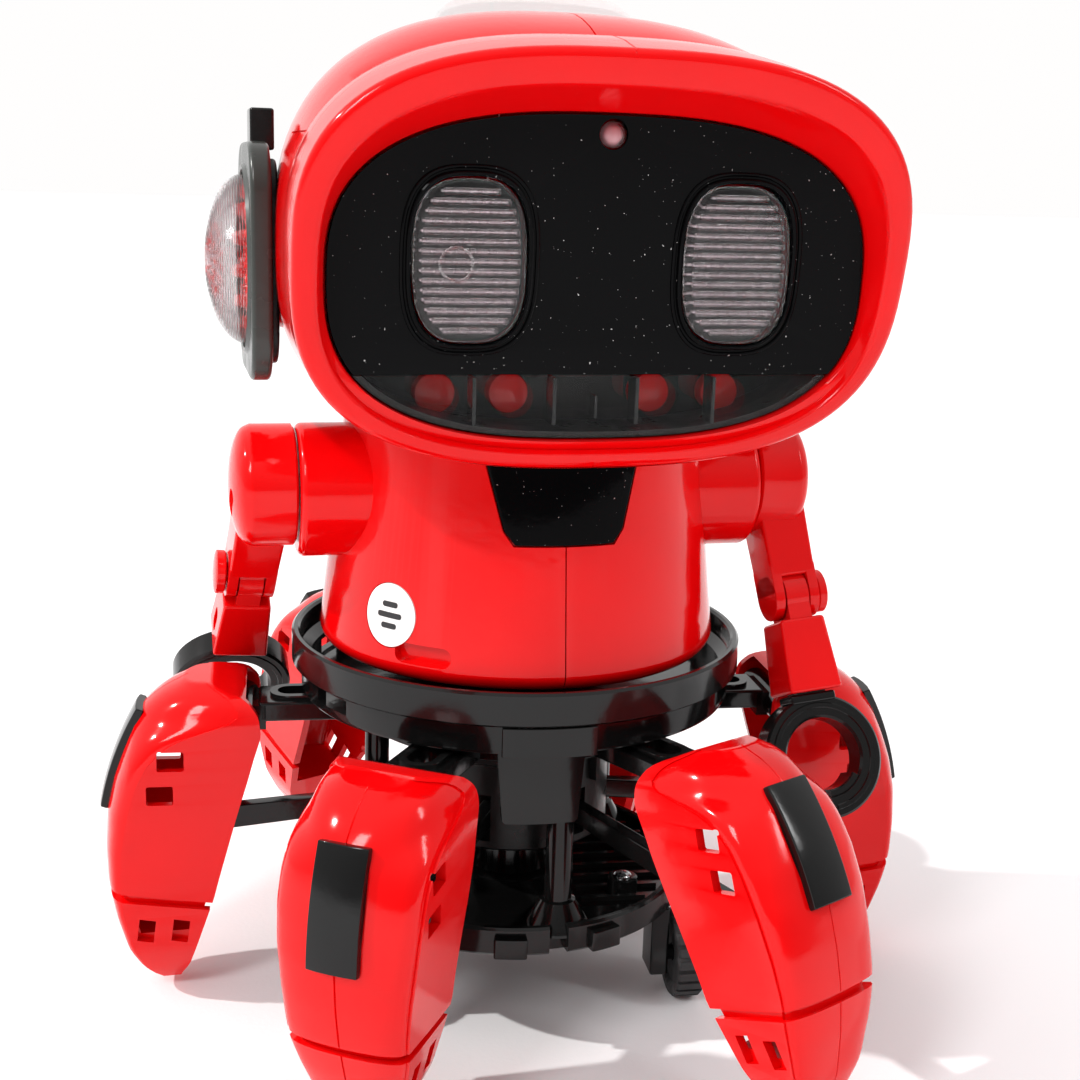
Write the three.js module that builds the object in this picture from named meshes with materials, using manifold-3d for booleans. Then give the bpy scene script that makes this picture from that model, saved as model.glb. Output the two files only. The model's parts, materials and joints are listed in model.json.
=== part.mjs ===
// A six-legged toy robot: hooded head, conical torso with two swinging arms, and a wheeled base
// whose oval cam pushes six claw-shaped legs. Millimetres, +Z up, the face looks towards -Y.
import * as THREE from 'three';
import { mergeVertices } from 'three/addons/utils/BufferGeometryUtils.js';
import Module from 'manifold-3d';

const wasm = await Module();
wasm.setup();

// ---------------------------------------------------------------- driving dimensions
const GAP = 0.3;                    // clearance between pieces that touch
const DEG = Math.PI / 180;
const FINE = 20;                    // facets of a large round
const MEDIUM = 12;                  // facets of a middling round
const SMALL = 8;                    // facets of a small round

const HOOD = { y: -64, z: 159.5, halfWidth: 53.4, halfHeight: 35.6, lean: 0.22, backY: -50, power: 2.7 };
const FACE = { y: -58.3, z: 157.2, halfWidth: 46.2, halfHeight: 27.4, lean: 0.08, splitZ: 141.2 };
const SHELL = { z: 160, halfWidth: 53.4, up: 44, down: 36.5, rearY: 44, wall: 2.2, power: 2.65 };
const EYE = { x: 23.5, z: 160.2, halfWidth: 9.6, halfHeight: 13.5, rim: 1.9, power: 2.9 };
const LAMP = { z: 181.4, radius: 2.2 };
const MOUTH = { z: 136.2, holeR: 3.6, holes: [-26.7, -13.3, 13.3, 26.7] };
const EAR = { y: -14, z: 157.5, halfDepth: 18.5, halfHeight: 21.5, outerX: 57.6, thickness: 3.8, lensR: 16.2 };
const DOME = { y: -2, z: 202.6, radius: 20, height: 7.6 };
const TORSO = { bottomZ: 78, bottomR: 42, topZ: 119.5, topR: 37.6, crownZ: 129, wall: 2.2, collarR: 13.5, collarZ: 111.4 };
const BOWL = { rimZ: 80, rimR: 48, stepZ: 73.2, stepR: 46, floorZ: 66.8, wall: 1.8 };
const BASE_YAW = -4.5;              // degrees: the base sits a little turned under the torso
const FRAME = { topZ: 65.2, bottomZ: 61, hubR: 34, armWidth: 12 };
const PLATE = { topZ: 27, bottomZ: 21, radius: 38 };
const WHEEL = { radius: 9.5, width: 6, x: 36, y: -18, pin: 1.6 };
const TREADS = 10;
const CASTER = { y: 26, radius: 7.5, width: 5, trail: 4, pin: 1.3, stem: 2.2 };
const CELL = { radius: 7.1, length: 49.5 };

const HINGE = { r: 58, z: 62 };     // leg hinge: distance from the robot's axis, and height
const ROD = { r: 65, z: 38, slope: 5 * DEG, inner: 48 };
// azimuth is measured from the front, swing is the outward lean at rest, both in degrees
const LEGS = [
  { name: 'front_left', azimuth: -30, swing: -10.5 },
  { name: 'front_right', azimuth: 30, swing: 11.8 },
  { name: 'side_left', azimuth: -90, swing: -2.4 },
  { name: 'side_right', azimuth: 90, swing: -2.4 },
  { name: 'rear_left', azimuth: -150, swing: 11.8 },
  { name: 'rear_right', azimuth: 150, swing: -10.5 },
];
const SHOULDER = { y: -5, z: 112.5, drumR: 12.3, innerX: 48, outerX: 57 };
const ARM = { elbow: 27, hand: 62, splay: 5.4 * DEG };
// lean is the forward lean of the hanging arm at rest, in degrees
const ARMS = [
  { name: 'left', side: -1, lean: -34 },
  { name: 'right', side: 1, lean: 24 },
];

// ---------------------------------------------------------------- materials
const plastic = (color, roughness) => new THREE.MeshStandardMaterial({ color, roughness, metalness: 0 });
const RED = plastic(0xe0060a, 0.16);
const BLACK = plastic(0x0b0b0c, 0.22);
const GREY = plastic(0x3c403d, 0.35);
const CLEAR = plastic(0xe9dfe0, 0.08);
const WHITE = plastic(0xf4f2ee, 0.5);
const RUBBER = plastic(0x151515, 0.8);
const STEEL = new THREE.MeshStandardMaterial({ color: 0xb9bcc0, roughness: 0.3, metalness: 1 });

// ---------------------------------------------------------------- solids
/** A closed geometry as a solid that can be joined and cut. */
function solid(geometry) {
  const bare = geometry.clone();
  bare.deleteAttribute('normal');
  bare.deleteAttribute('uv');
  const welded = mergeVertices(bare, 1e-4);
  const index = [...welded.index.array];
  const faces = [];
  for (let i = 0; i < index.length; i += 3) {
    const [a, b, c] = index.slice(i, i + 3);
    if (a !== b && b !== c && c !== a) faces.push(a, b, c);
  }
  return new wasm.Manifold(new wasm.Mesh({
    numProp: 3,
    vertProperties: new Float32Array(welded.attributes.position.array),
    triVerts: new Uint32Array(faces),
  }));
}

/** A named mesh of one solid. */
function part(name, body, material) {
  const mesh = body.getMesh();
  const geometry = new THREE.BufferGeometry();
  geometry.setAttribute('position', new THREE.Float32BufferAttribute(mesh.vertProperties, 3));
  geometry.setIndex([...mesh.triVerts]);
  geometry.computeVertexNormals();
  const result = new THREE.Mesh(geometry, material);
  result.name = name;
  return result;
}

const joined = (...bodies) => bodies.reduce((a, b) => a.add(b));
const cut = (body, ...tools) => tools.reduce((a, b) => a.subtract(b), body);
const moved = (body, matrix) => body.transform(matrix.elements);
const box = (x0, x1, y0, y1, z0, z1) =>
  solid(new THREE.BoxGeometry(x1 - x0, y1 - y0, z1 - z0).translate((x0 + x1) / 2, (y0 + y1) / 2, (z0 + z1) / 2));

/** A round bar from one end to the other; the second radius makes it a cone. */
function bar(from, to, radius, endRadius = radius, sides = MEDIUM) {
  const a = new THREE.Vector3(...from);
  const b = new THREE.Vector3(...to);
  const along = b.clone().sub(a);
  const geometry = new THREE.CylinderGeometry(endRadius, radius, along.length(), sides);
  const turn = new THREE.Quaternion().setFromUnitVectors(new THREE.Vector3(0, 1, 0), along.clone().normalize());
  geometry.applyQuaternion(turn).translate(...a.add(b).multiplyScalar(0.5).toArray());
  return solid(geometry);
}

/** A body of revolution about +Z from [radius, height] points. */
function turned(profile, segments = FINE) {
  const points = profile.map(([r, z]) => new THREE.Vector2(r, z));
  return solid(new THREE.LatheGeometry(points, segments).rotateX(Math.PI / 2));
}

/** A plate: an outline in the XZ plane (drawn as seen from the front), from y0 back to y1. */
function plateXZ(shape, y0, y1, curveSegments = 4) {
  const geometry = new THREE.ExtrudeGeometry(shape, { depth: y1 - y0, bevelEnabled: false, curveSegments });
  return solid(geometry.rotateX(Math.PI / 2).translate(0, y1, 0));
}

/** A plate: an outline in the XY plane, from z0 up to z1. */
function plateXY(shape, z0, z1, curveSegments = 4) {
  const geometry = new THREE.ExtrudeGeometry(shape, { depth: z1 - z0, bevelEnabled: false, curveSegments });
  return solid(geometry.translate(0, 0, z0));
}

/** A plate: an outline drawn in (y, z), from x0 across to x1. */
function plateYZ(shape, x0, x1, curveSegments = 4) {
  const geometry = new THREE.ExtrudeGeometry(shape, { depth: x1 - x0, bevelEnabled: false, curveSegments });
  const toYZ = new THREE.Matrix4().makeBasis(
    new THREE.Vector3(0, 1, 0), new THREE.Vector3(0, 0, 1), new THREE.Vector3(1, 0, 0));
  return solid(geometry.applyMatrix4(toYZ).translate(x0, 0, 0));
}

/** Polygon outline from [x, y] points. */
const outline = (points) => new THREE.Shape(points.map(([x, y]) => new THREE.Vector2(x, y)));

/** Rounded rectangle about a centre. */
function roundedRect(cx, cy, halfX, halfY, r) {
  const shape = new THREE.Shape();
  shape.absarc(cx + halfX - r, cy - halfY + r, r, -Math.PI / 2, 0);
  shape.absarc(cx + halfX - r, cy + halfY - r, r, 0, Math.PI / 2);
  shape.absarc(cx - halfX + r, cy + halfY - r, r, Math.PI / 2, Math.PI);
  shape.absarc(cx - halfX + r, cy - halfY + r, r, Math.PI, 1.5 * Math.PI);
  return shape;
}

/** Skin between rings of equal length; a closed loop of rings makes a frame, an open one gets end caps. */
function loft(rings, loop = false) {
  const count = rings[0].length;
  const vertices = rings.flat();
  const faces = [];
  const last = loop ? rings.length : rings.length - 1;
  for (let k = 0; k < last; k += 1) {
    const here = k * count;
    const next = ((k + 1) % rings.length) * count;
    for (let i = 0; i < count; i += 1) {
      const j = (i + 1) % count;
      faces.push(here + i, here + j, next + j, here + i, next + j, next + i);
    }
  }
  if (!loop) {
    const top = (rings.length - 1) * count;
    for (const [start, flip] of [[0, true], [top, false]]) {
      const flat = THREE.ShapeUtils.triangulateShape(flattened(rings[start / count]), []);
      for (const [a, b, c] of flat) {
        if (flip) faces.push(start + c, start + b, start + a);
        else faces.push(start + a, start + b, start + c);
      }
    }
  }
  const geometry = new THREE.BufferGeometry();
  const flatPositions = vertices.flatMap((v) => v.toArray());
  geometry.setAttribute('position', new THREE.Float32BufferAttribute(flatPositions, 3));
  geometry.setIndex(faces);
  return outward(geometry);
}

/** A ring as 2-D points in its own plane, for its end cap. */
function flattened(ring) {
  const origin = ring[0];
  const normal = new THREE.Vector3();
  ring.forEach((p, i) => normal.add(p.clone().sub(origin).cross(ring[(i + 1) % ring.length].clone().sub(origin))));
  normal.normalize();
  const u = ring[1].clone().sub(origin).normalize();
  const v = normal.clone().cross(u);
  return ring.map((p) => new THREE.Vector2(p.clone().sub(origin).dot(u), p.clone().sub(origin).dot(v)));
}

/** A geometry's solid, turned inside out first if its faces point in. */
function outward(geometry) {
  const p = geometry.attributes.position;
  const index = geometry.index.array;
  const [a, b, c] = [0, 1, 2].map(() => new THREE.Vector3());
  let volume = 0;
  for (let i = 0; i < index.length; i += 3) {
    a.fromBufferAttribute(p, index[i]);
    b.fromBufferAttribute(p, index[i + 1]);
    c.fromBufferAttribute(p, index[i + 2]);
    volume += a.dot(b.cross(c));
  }
  if (volume < 0) {
    for (let i = 0; i < index.length; i += 3) [index[i], index[i + 1]] = [index[i + 1], index[i]];
  }
  return solid(geometry);
}

/** Both mirror halves of a body, split along x = 0 with a fine seam. */
function halves(body) {
  const big = 400;
  return {
    left: body.intersect(box(-big, -GAP / 2, -big, big, -big, big)),
    right: body.intersect(box(GAP / 2, big, -big, big, -big, big)),
  };
}

// ---------------------------------------------------------------- head
/** Rounded-oval ring: separate upper and lower half-heights, its top leaning forward (towards -Y). */
function oval({ y, z, halfWidth, up, down, lean = 0, power = HOOD.power, count = 24 }) {
  const ring = [];
  for (let i = 0; i < count; i += 1) {
    const t = (i / count) * 2 * Math.PI;
    const c = Math.cos(t);
    const s = Math.sin(t);
    const x = halfWidth * Math.sign(c) * Math.abs(c) ** (2 / power);
    const v = (s > 0 ? up : down) * Math.sign(s) * Math.abs(s) ** (2 / power);
    ring.push(new THREE.Vector3(x, y - v * Math.sin(lean), z + v * Math.cos(lean)));
  }
  return ring;
}

/** The hood's rings at its front lip, shrunk sideways and shifted back by amounts in mm. */
function lipRing(inset, back) {
  return oval({
    y: HOOD.y + back, z: HOOD.z, lean: HOOD.lean,
    halfWidth: HOOD.halfWidth - inset, up: HOOD.halfHeight - inset, down: HOOD.halfHeight - inset,
  });
}

/** The ring where the hood's bore meets the face, larger than the face by a margin. */
function faceRing(margin, back) {
  return oval({
    y: FACE.y + back, z: FACE.z, lean: FACE.lean,
    halfWidth: FACE.halfWidth + margin, up: FACE.halfHeight + margin, down: FACE.halfHeight + margin,
  });
}

function hood() {
  const back = { y: HOOD.backY, z: SHELL.z + 0.5, halfWidth: 53.2, up: 37.2, down: 36.9 };
  const mouthLine = { y: HOOD.y, z: HOOD.z - 1.5, lean: HOOD.lean, halfWidth: 47.9, up: 31.1, down: 31.1 };
  return loft([
    lipRing(1.2, 0),
    lipRing(0, 1.4),
    oval({ y: HOOD.backY - 6, z: SHELL.z + 0.3, halfWidth: 53.4, up: 37, down: 36, lean: 0.05 }),
    oval(back),
    oval({ ...back, halfWidth: 50, up: 34.6, down: 34.3 }),
    faceRing(GAP, 3.4),
    faceRing(GAP, -0.6),
    oval({ ...mouthLine, y: mouthLine.y + 0.8 }),
    oval({ ...mouthLine, halfWidth: 48.7, up: 31.9, down: 31.9 }),
  ], true);
}

/** The head's hollow body behind the hood: rounded towards the rear, seated for ears, dome and hood. */
function headShell(inset = 0) {
  const stations = 6;
  const frontY = HOOD.backY + GAP + (inset ? -2 : 0);
  const depth = SHELL.rearY - inset - frontY;
  const rings = [];
  for (let k = 0; k <= stations; k += 1) {
    const t = k / stations;
    const y = frontY + depth * Math.sin((t * Math.PI) / 2) ** 0.85;
    const u = Math.max(0, (y - frontY) / depth);
    const round = Math.max(0.16, (1 - u ** 3.4) ** 0.5);
    const rise = 1 - 0.16 * (1 - Math.min(1, u * 3.2)) ** 2;
    rings.push(oval({
      y, z: SHELL.z, power: SHELL.power,
      halfWidth: (SHELL.halfWidth - inset) * round,
      up: (SHELL.up * rise - inset) * round,
      down: (SHELL.down - inset) * round,
    }));
  }
  return loft(rings);
}

function headShells() {
  const seat = bar([0, DOME.y, DOME.z - GAP], [0, DOME.y, DOME.z + 20], DOME.radius + 0.8, DOME.radius + 0.8, FINE);
  const lampHole = bar([0, DOME.y, 150], [0, DOME.y, 220], 6, 6);
  const neckHole = bar([0, 0, 110], [0, 0, 140], 13.5, 13.5);
  const earBoss = (side) => bar([side * 44, EAR.y, EAR.z], [side * (EAR.outerX - EAR.thickness - 1.7), EAR.y, EAR.z], 14);
  const earHole = (side) => bar([side * 30, EAR.y, EAR.z], [side * 70, EAR.y, EAR.z], 8, 8);
  const earPocket = earSlab(3.5 - GAP, 3 - GAP, 7, EAR.outerX - EAR.thickness - 1.4 - GAP, 60);
  const shell = cut(headShell(), headShell(SHELL.wall));
  const body = joined(shell, earBoss(-1), earBoss(1));
  return halves(cut(body, seat, lampHole, neckHole, earHole(-1), earHole(1), earPocket, earPocket.mirror([1, 0, 0])));
}

/** Rounded slab across the right ear, smaller than the ear frame by margins in depth and height. */
function earSlab(marginY, marginZ, radius, x0, x1) {
  const shape = roundedRect(EAR.y, EAR.z, EAR.halfDepth - marginY, EAR.halfHeight - marginZ, radius);
  return plateYZ(shape, x0, x1, 3);
}

/** A slab that fills the hood's bore, from `front` to `back` mm behind the face plane. */
function boreSlab(margin, front, back) {
  return loft([faceRing(margin, front), faceRing(margin, back)]);
}

/** Eye outline: a tall barrel with rounded corners. */
function eyeShape(side, grow) {
  const shape = new THREE.Shape();
  const count = 20;
  for (let i = 0; i < count; i += 1) {
    const t = (i / count) * 2 * Math.PI;
    const c = Math.cos(t);
    const s = Math.sin(t);
    const x = side * EYE.x + (EYE.halfWidth + grow) * Math.sign(c) * Math.abs(c) ** (2 / EYE.power);
    const z = EYE.z + (EYE.halfHeight + grow) * Math.sign(s) * Math.abs(s) ** (2 / EYE.power);
    if (i === 0) shape.moveTo(x, z);
    else shape.lineTo(x, z);
  }
  return shape;
}

const faceY = (z) => FACE.y - (z - FACE.z) * Math.tan(FACE.lean);

function faceParts() {
  const eyeY = faceY(EYE.z);
  const above = box(-60, 60, -90, -40, FACE.splitZ, 200);
  const below = box(-60, 60, -90, -40, 110, FACE.splitZ - GAP);
  const rims = [-1, 1].map((side) => plateXZ(eyeShape(side, EYE.rim), eyeY - 1.1, eyeY + 0.6));
  const eyeHoles = [-1, 1].map((side) => plateXZ(eyeShape(side, GAP), eyeY - 5, eyeY + 5));
  const lampHole = bar([0, -75, LAMP.z], [0, -50, LAMP.z], LAMP.radius + GAP, LAMP.radius + GAP);
  const panel = cut(joined(boreSlab(-0.1, 0, 2).intersect(above), ...rims), ...eyeHoles, lampHole);

  const hole = (x) => bar([x, -75, MOUTH.z], [x, -50, MOUTH.z], MOUTH.holeR, MOUTH.holeR);
  const mouth = cut(boreSlab(-0.1, 1.3, 2).intersect(below), ...MOUTH.holes.map(hole));
  const cover = boreSlab(-0.1, 0, 1).intersect(below);
  const carrier = boreSlab(-0.1, 2.3, 4.4);

  const lens = (side) => cut(joined(
    plateXZ(eyeShape(side, 0), eyeY - 0.7, eyeY + 3),
    plateXZ(eyeShape(side, -1), eyeY - 1.5, eyeY),
    plateXZ(eyeShape(side, -2.6), eyeY - 2, eyeY),
  ), boreSlab(2, 2.3 - GAP, 8));
  const lampY = faceY(LAMP.z);
  const lamp = joined(
    bar([0, lampY - 0.6, LAMP.z], [0, lampY + 2, LAMP.z], LAMP.radius, LAMP.radius, SMALL),
    bar([0, lampY - 0.6, LAMP.z], [0, lampY - 1.5, LAMP.z], LAMP.radius, 1, SMALL),
  );
  return [
    part('face_carrier', carrier, RED),
    part('face_panel', panel, BLACK),
    part('mouth_grille', mouth, BLACK),
    part('mouth_window', cover, CLEAR),
    part('eye_lens_left', lens(-1), CLEAR),
    part('eye_lens_right', lens(1), CLEAR),
    part('forehead_lamp', lamp, CLEAR),
  ];
}

/** Ear on one side: a grey frame with a stub on top, standing off the head on a black box. */
function earFrame(side) {
  const { outerX, thickness, halfHeight } = EAR;
  const innerX = outerX - thickness;
  const top = EAR.z + halfHeight;
  const body = joined(
    earSlab(0, 0, 9, innerX, outerX),
    earSlab(3.5, 3, 7, innerX - 1.4, innerX + 1),
    box(outerX - 5.4, outerX - 1, EAR.y - 4, EAR.y + 4, top - 1.5, top + 6),
  );
  const socket = bar([innerX + 1, EAR.y, EAR.z], [outerX + 1, EAR.y, EAR.z], EAR.lensR + GAP, EAR.lensR + GAP, FINE);
  const wireHole = bar([innerX - 5, EAR.y, EAR.z], [outerX, EAR.y, EAR.z], 5, 5);
  const frame = cut(body, socket, wireHole);
  return side > 0 ? frame : frame.mirror([1, 0, 0]);
}

function earLens(side) {
  const base = EAR.outerX - EAR.thickness + 1 + GAP;
  const rise = 65 - EAR.outerX;
  const profile = [[0, 0], [EAR.lensR, 0], [EAR.lensR, EAR.outerX - base]];
  const steps = 5;
  for (let k = 1; k <= steps; k += 1) {
    const t = (k / steps) * (Math.PI / 2);
    profile.push([Math.max(0, (EAR.lensR - 0.6) * Math.cos(t)), EAR.outerX - base + rise * Math.sin(t)]);
  }
  const spin = new THREE.Matrix4().makeRotationY(side * (Math.PI / 2));
  const place = new THREE.Matrix4().makeTranslation(side * base, EAR.y, EAR.z);
  return moved(turned(profile, FINE), place.multiply(spin));
}

function topDome() {
  const profile = [[0, 0], [DOME.radius, 0], [DOME.radius, 1]];
  const steps = 5;
  for (let k = 1; k <= steps; k += 1) {
    const t = (k / steps) * (Math.PI / 2);
    profile.push([Math.max(0, (DOME.radius - 0.5) * Math.cos(t)), 1 + (DOME.height - 1) * Math.sin(t)]);
  }
  return turned(profile, FINE).translate([0, DOME.y, DOME.z]);
}

function head() {
  const group = new THREE.Group();
  const shells = headShells();
  group.add(part('head_hood', hood(), RED));
  group.add(part('head_shell_left', shells.left, RED));
  group.add(part('head_shell_right', shells.right, RED));
  group.add(...faceParts());
  for (const [name, side] of [['left', -1], ['right', 1]]) {
    group.add(part(`ear_frame_${name}`, earFrame(side), GREY));
    group.add(part(`ear_lens_${name}`, earLens(side), CLEAR));
  }
  group.add(part('top_dome', topDome(), CLEAR));
  return group;
}

// ---------------------------------------------------------------- torso
const torsoR = (z) =>
  TORSO.bottomR + ((TORSO.topR - TORSO.bottomR) * (z - TORSO.bottomZ)) / (TORSO.topZ - TORSO.bottomZ);

/** The torso's outer cone, grown or shrunk by `offset`. */
function torsoCone(offset, z0, z1) {
  return turned([[0, z0], [torsoR(z0) + offset, z0], [torsoR(z1) + offset, z1], [0, z1]], FINE);
}

function torsoSkin() {
  const { bottomZ, topZ, bottomR, topR, crownZ, wall } = TORSO;
  const edge = 3.4;
  const profile = [[0, bottomZ]];
  for (let k = 0; k <= 4; k += 1) {
    const t = (k / 4) * (Math.PI / 2);
    profile.push([bottomR - edge + edge * Math.sin(t), bottomZ + edge - edge * Math.cos(t)]);
  }
  profile.push([torsoR(crownZ), crownZ], [0, crownZ]);
  const underHead = headShell(-0.4);
  const skin = cut(turned(profile, FINE), underHead);
  const hollow = turned([[0, bottomZ + wall], [bottomR - wall - 1.6, bottomZ + wall],
    [bottomR - wall - 0.3, bottomZ + 5], [topR - wall, topZ + 1], [0, topZ + 1]]);
  return { skin, hollow };
}

/** Prism through the front of the torso with the chest window's outline. */
function windowPrism(grow) {
  return plateXZ(outline([[-9.6 - grow, 106.4 - grow], [9.6 + grow, 106.4 - grow], [11.6 + grow, 109],
    [14.8 + grow, 122], [-14.8 - grow, 122], [-11.6 - grow, 109]]), -60, -20);
}

/** Prism through the back of the torso with the battery door's outline. */
const doorPrism = (grow) =>
  plateXZ(roundedRect(0, 97, 27 + grow, 14.5 + grow, 3), 10, 60, 4);

const STICKER = { azimuth: -50.5, z: 90.4, radius: 6.2 };
function stickerPrism(grow) {
  const a = STICKER.azimuth * DEG;
  const at = (r) => [r * Math.sin(a), -r * Math.cos(a), STICKER.z];
  return bar(at(30), at(60), STICKER.radius + grow, STICKER.radius + grow);
}

/** Rounded slot low on the torso's front left. */
function lowSlot() {
  const a = -39 * DEG;
  const prism = plateXZ(roundedRect(0, 83.8, 6.2, 2, 1.9), -60, -38.6, 4);
  return moved(prism, new THREE.Matrix4().makeRotationZ(a));
}

function torsoShells() {
  const { skin, hollow } = torsoSkin();
  const collar = (side) => bar([side * 30, SHOULDER.y, TORSO.collarZ],
    [side * (SHOULDER.innerX - GAP), SHOULDER.y, TORSO.collarZ], TORSO.collarR, TORSO.collarR);
  const neck = bar([0, 0, TORSO.topZ - 1], [0, 0, 126], 13, 13);
  const neckBore = bar([0, 0, 100], [0, 0, 130], 10, 10);
  const outside = joined(skin, collar(-1), collar(1), neck);
  const shaft = (side) => bar([side * 20, SHOULDER.y, SHOULDER.z], [side * 60, SHOULDER.y, SHOULDER.z], 3.6, 3.6);
  const floorHole = bar([0, 0, 70], [0, 0, 84], 16, 16);
  const windowPocket = cut(windowPrism(GAP), torsoCone(-1.1, 100, 124));
  const stickerPocket = cut(stickerPrism(0.25), torsoCone(-0.35, 80, 104));
  const body = cut(outside, hollow, neckBore, floorHole, shaft(-1), shaft(1),
    windowPocket, stickerPocket, lowSlot(), doorPrism(GAP));
  return halves(body);
}

function torso() {
  const group = new THREE.Group();
  const shells = torsoShells();
  const windowPlate = windowPrism(0).intersect(torsoCone(0.2, 100, TORSO.topZ + 2))
    .subtract(torsoCone(-0.8, 99, 123));
  const sticker = stickerPrism(0).intersect(torsoCone(0.25, 80, 104)).subtract(torsoCone(-0.05, 79, 105));
  const door = doorPrism(0).intersect(torsoCone(0.2, 80, 115)).subtract(torsoCone(-TORSO.wall, 79, 116));
  group.add(part('torso_shell_left', shells.left, RED));
  group.add(part('torso_shell_right', shells.right, RED));
  group.add(part('chest_window', windowPlate, BLACK));
  group.add(part('torso_sticker', sticker, WHITE));
  group.add(part('battery_cover', door, RED));
  const cells = [[19, 88.5], [19, 103.6], [4.4, 88.5]];
  cells.forEach(([y, z], i) => {
    const half = CELL.length / 2;
    const cell = joined(
      bar([-half, y, z], [half, y, z], CELL.radius, CELL.radius),
      bar([half - 0.5, y, z], [half + 1, y, z], 2.6, 2.6, SMALL),
    );
    group.add(part(`battery_${i + 1}`, cell, STEEL));
  });
  group.add(part('drive_motor', joined(
    bar([0, -14, 84], [0, -14, 104], 9, 9),
    bar([0, -14, 81], [0, -14, 84.5], 4, 4, SMALL),
  ), STEEL));
  return group;
}

// ---------------------------------------------------------------- arms
/** Shoulder drum with its domed, slotted cap and the upper arm down to the elbow fork. */
function upperArm() {
  const { drumR, innerX, outerX, z } = SHOULDER;
  const length = outerX - innerX;
  const profile = [[0, 0], [drumR, 0], [drumR, length]];
  const steps = 3;
  for (let k = 1; k <= steps; k += 1) {
    const t = (k / steps) * (Math.PI / 2);
    profile.push([Math.max(0, drumR * Math.cos(t)), length + 4 * Math.sin(t)]);
  }
  const drum = moved(turned(profile, FINE), new THREE.Matrix4().makeRotationY(Math.PI / 2));
  const slot = (y, tilt) => {
    const prism = plateXZ(roundedRect(0, 0, 1.5, 4, 1.4), -2, 2, 1);
    const toOuterFace = new THREE.Matrix4().makeTranslation(length + 4.4, y, 0.5)
      .multiply(new THREE.Matrix4().makeRotationX(tilt))
      .multiply(new THREE.Matrix4().makeRotationZ(Math.PI / 2));
    return moved(prism, toOuterFace);
  };
  const limb = splayed(joined(
    box(0.6, 10.6, -5.2, 5.2, -ARM.elbow + 3.2, 0),
    bar([0.6, 0, -ARM.elbow], [2.8, 0, -ARM.elbow], 5.2, 5.2),
    bar([8.4, 0, -ARM.elbow], [10.6, 0, -ARM.elbow], 5.2, 5.2),
    box(0.6, 2.8, -5.2, 5.2, -ARM.elbow, -ARM.elbow + 6),
    box(8.4, 10.6, -5.2, 5.2, -ARM.elbow, -ARM.elbow + 6),
  ));
  const forkGap = splayed(bar([2.8, 0, -ARM.elbow], [8.4, 0, -ARM.elbow], 6.4, 6.4));
  const pinHole = splayed(bar([-3, 0, -ARM.elbow], [14, 0, -ARM.elbow], 2 + GAP, 2 + GAP, SMALL));
  const pocket = bar([-1, 0, 0], [length - 2, 0, 0], 3.4, 3.4);
  return cut(joined(drum, limb), forkGap, pinHole, pocket, slot(-4.6, 0.15), slot(4.6, -0.15));
}

/** Lean a piece of the arm outwards by the splay angle about the shoulder's axis end. */
const splayed = (body) => moved(body, new THREE.Matrix4().makeRotationY(-ARM.splay));

/** Tapered forearm with its elbow knuckle and the socket for the hand. */
function forearm() {
  const top = -ARM.elbow - 6.9;
  const bottom = -48.2;
  const section = (z, x0, x1, halfY) => [[x0, -halfY], [x1, -halfY], [x1, halfY], [x0, halfY]]
    .map(([x, y]) => new THREE.Vector3(x, y, z));
  const body = loft([section(bottom, -0.4, 11.4, 6), section(top, 0.6, 10.6, 5.2)]);
  const neck = box(3.1, 8.1, -4.6, 4.6, top - 3, -ARM.elbow);
  const knuckle = bar([3.1, 0, -ARM.elbow], [8.1, 0, -ARM.elbow], 5.2, 5.2);
  const pinHole = bar([-3, 0, -ARM.elbow], [14, 0, -ARM.elbow], 2 + GAP, 2 + GAP, SMALL);
  const outerSlot = plateYZ(roundedRect(0, -42.5, 1.7, 3, 1.6), 10.2, 12, 3);
  return splayed(cut(joined(body, neck, knuckle), pinHole, outerSlot, box(2, 9, -3, 3, -49, -44)));
}

/** Pin through the elbow with a round head on its outer end. */
function elbowPin() {
  return splayed(joined(
    bar([0.8, 0, -ARM.elbow], [11, 0, -ARM.elbow], 2, 2, SMALL),
    bar([10.6 + GAP, 0, -ARM.elbow], [13.2, 0, -ARM.elbow], 4.6, 4.6),
  ));
}

/** C-shaped gripper ring on a peg that sits in the forearm's socket. */
function hand() {
  const outerR = 13;
  const innerR = 8.2;
  const half = 3.2;
  const cx = 5.5;
  const open = { middle: -118 * DEG, half: 27 * DEG };
  const start = open.middle + open.half;
  const end = open.middle - open.half + 2 * Math.PI;
  const shape = new THREE.Shape();
  shape.absarc(cx, -ARM.hand, outerR, start, end, false);
  shape.absarc(cx, -ARM.hand, innerR, end, start, true);
  const ring = plateXZ(shape, -half, half, 16);
  const step = new THREE.Shape();
  step.absarc(cx, -ARM.hand, innerR + 1, start, start + 55 * DEG, false);
  step.absarc(cx, -ARM.hand, innerR - 1.3, start + 55 * DEG, start, true);
  const neck = box(cx - 5, cx + 5, -3.6, 3.6, -ARM.hand + 9, -48.2 - GAP);
  const peg = box(cx - 3.2, cx + 3.2, -2.7, 2.7, -50, -44.6);
  const bore = plateXZ(circle(cx, -ARM.hand, innerR), -4, 4, 12);
  return splayed(joined(ring, cut(neck, bore), peg, plateXZ(step, -half, half, 4)));
}

function circle(x, y, r) {
  const shape = new THREE.Shape();
  shape.absarc(x, y, r, 0, 2 * Math.PI);
  return shape;
}

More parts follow.
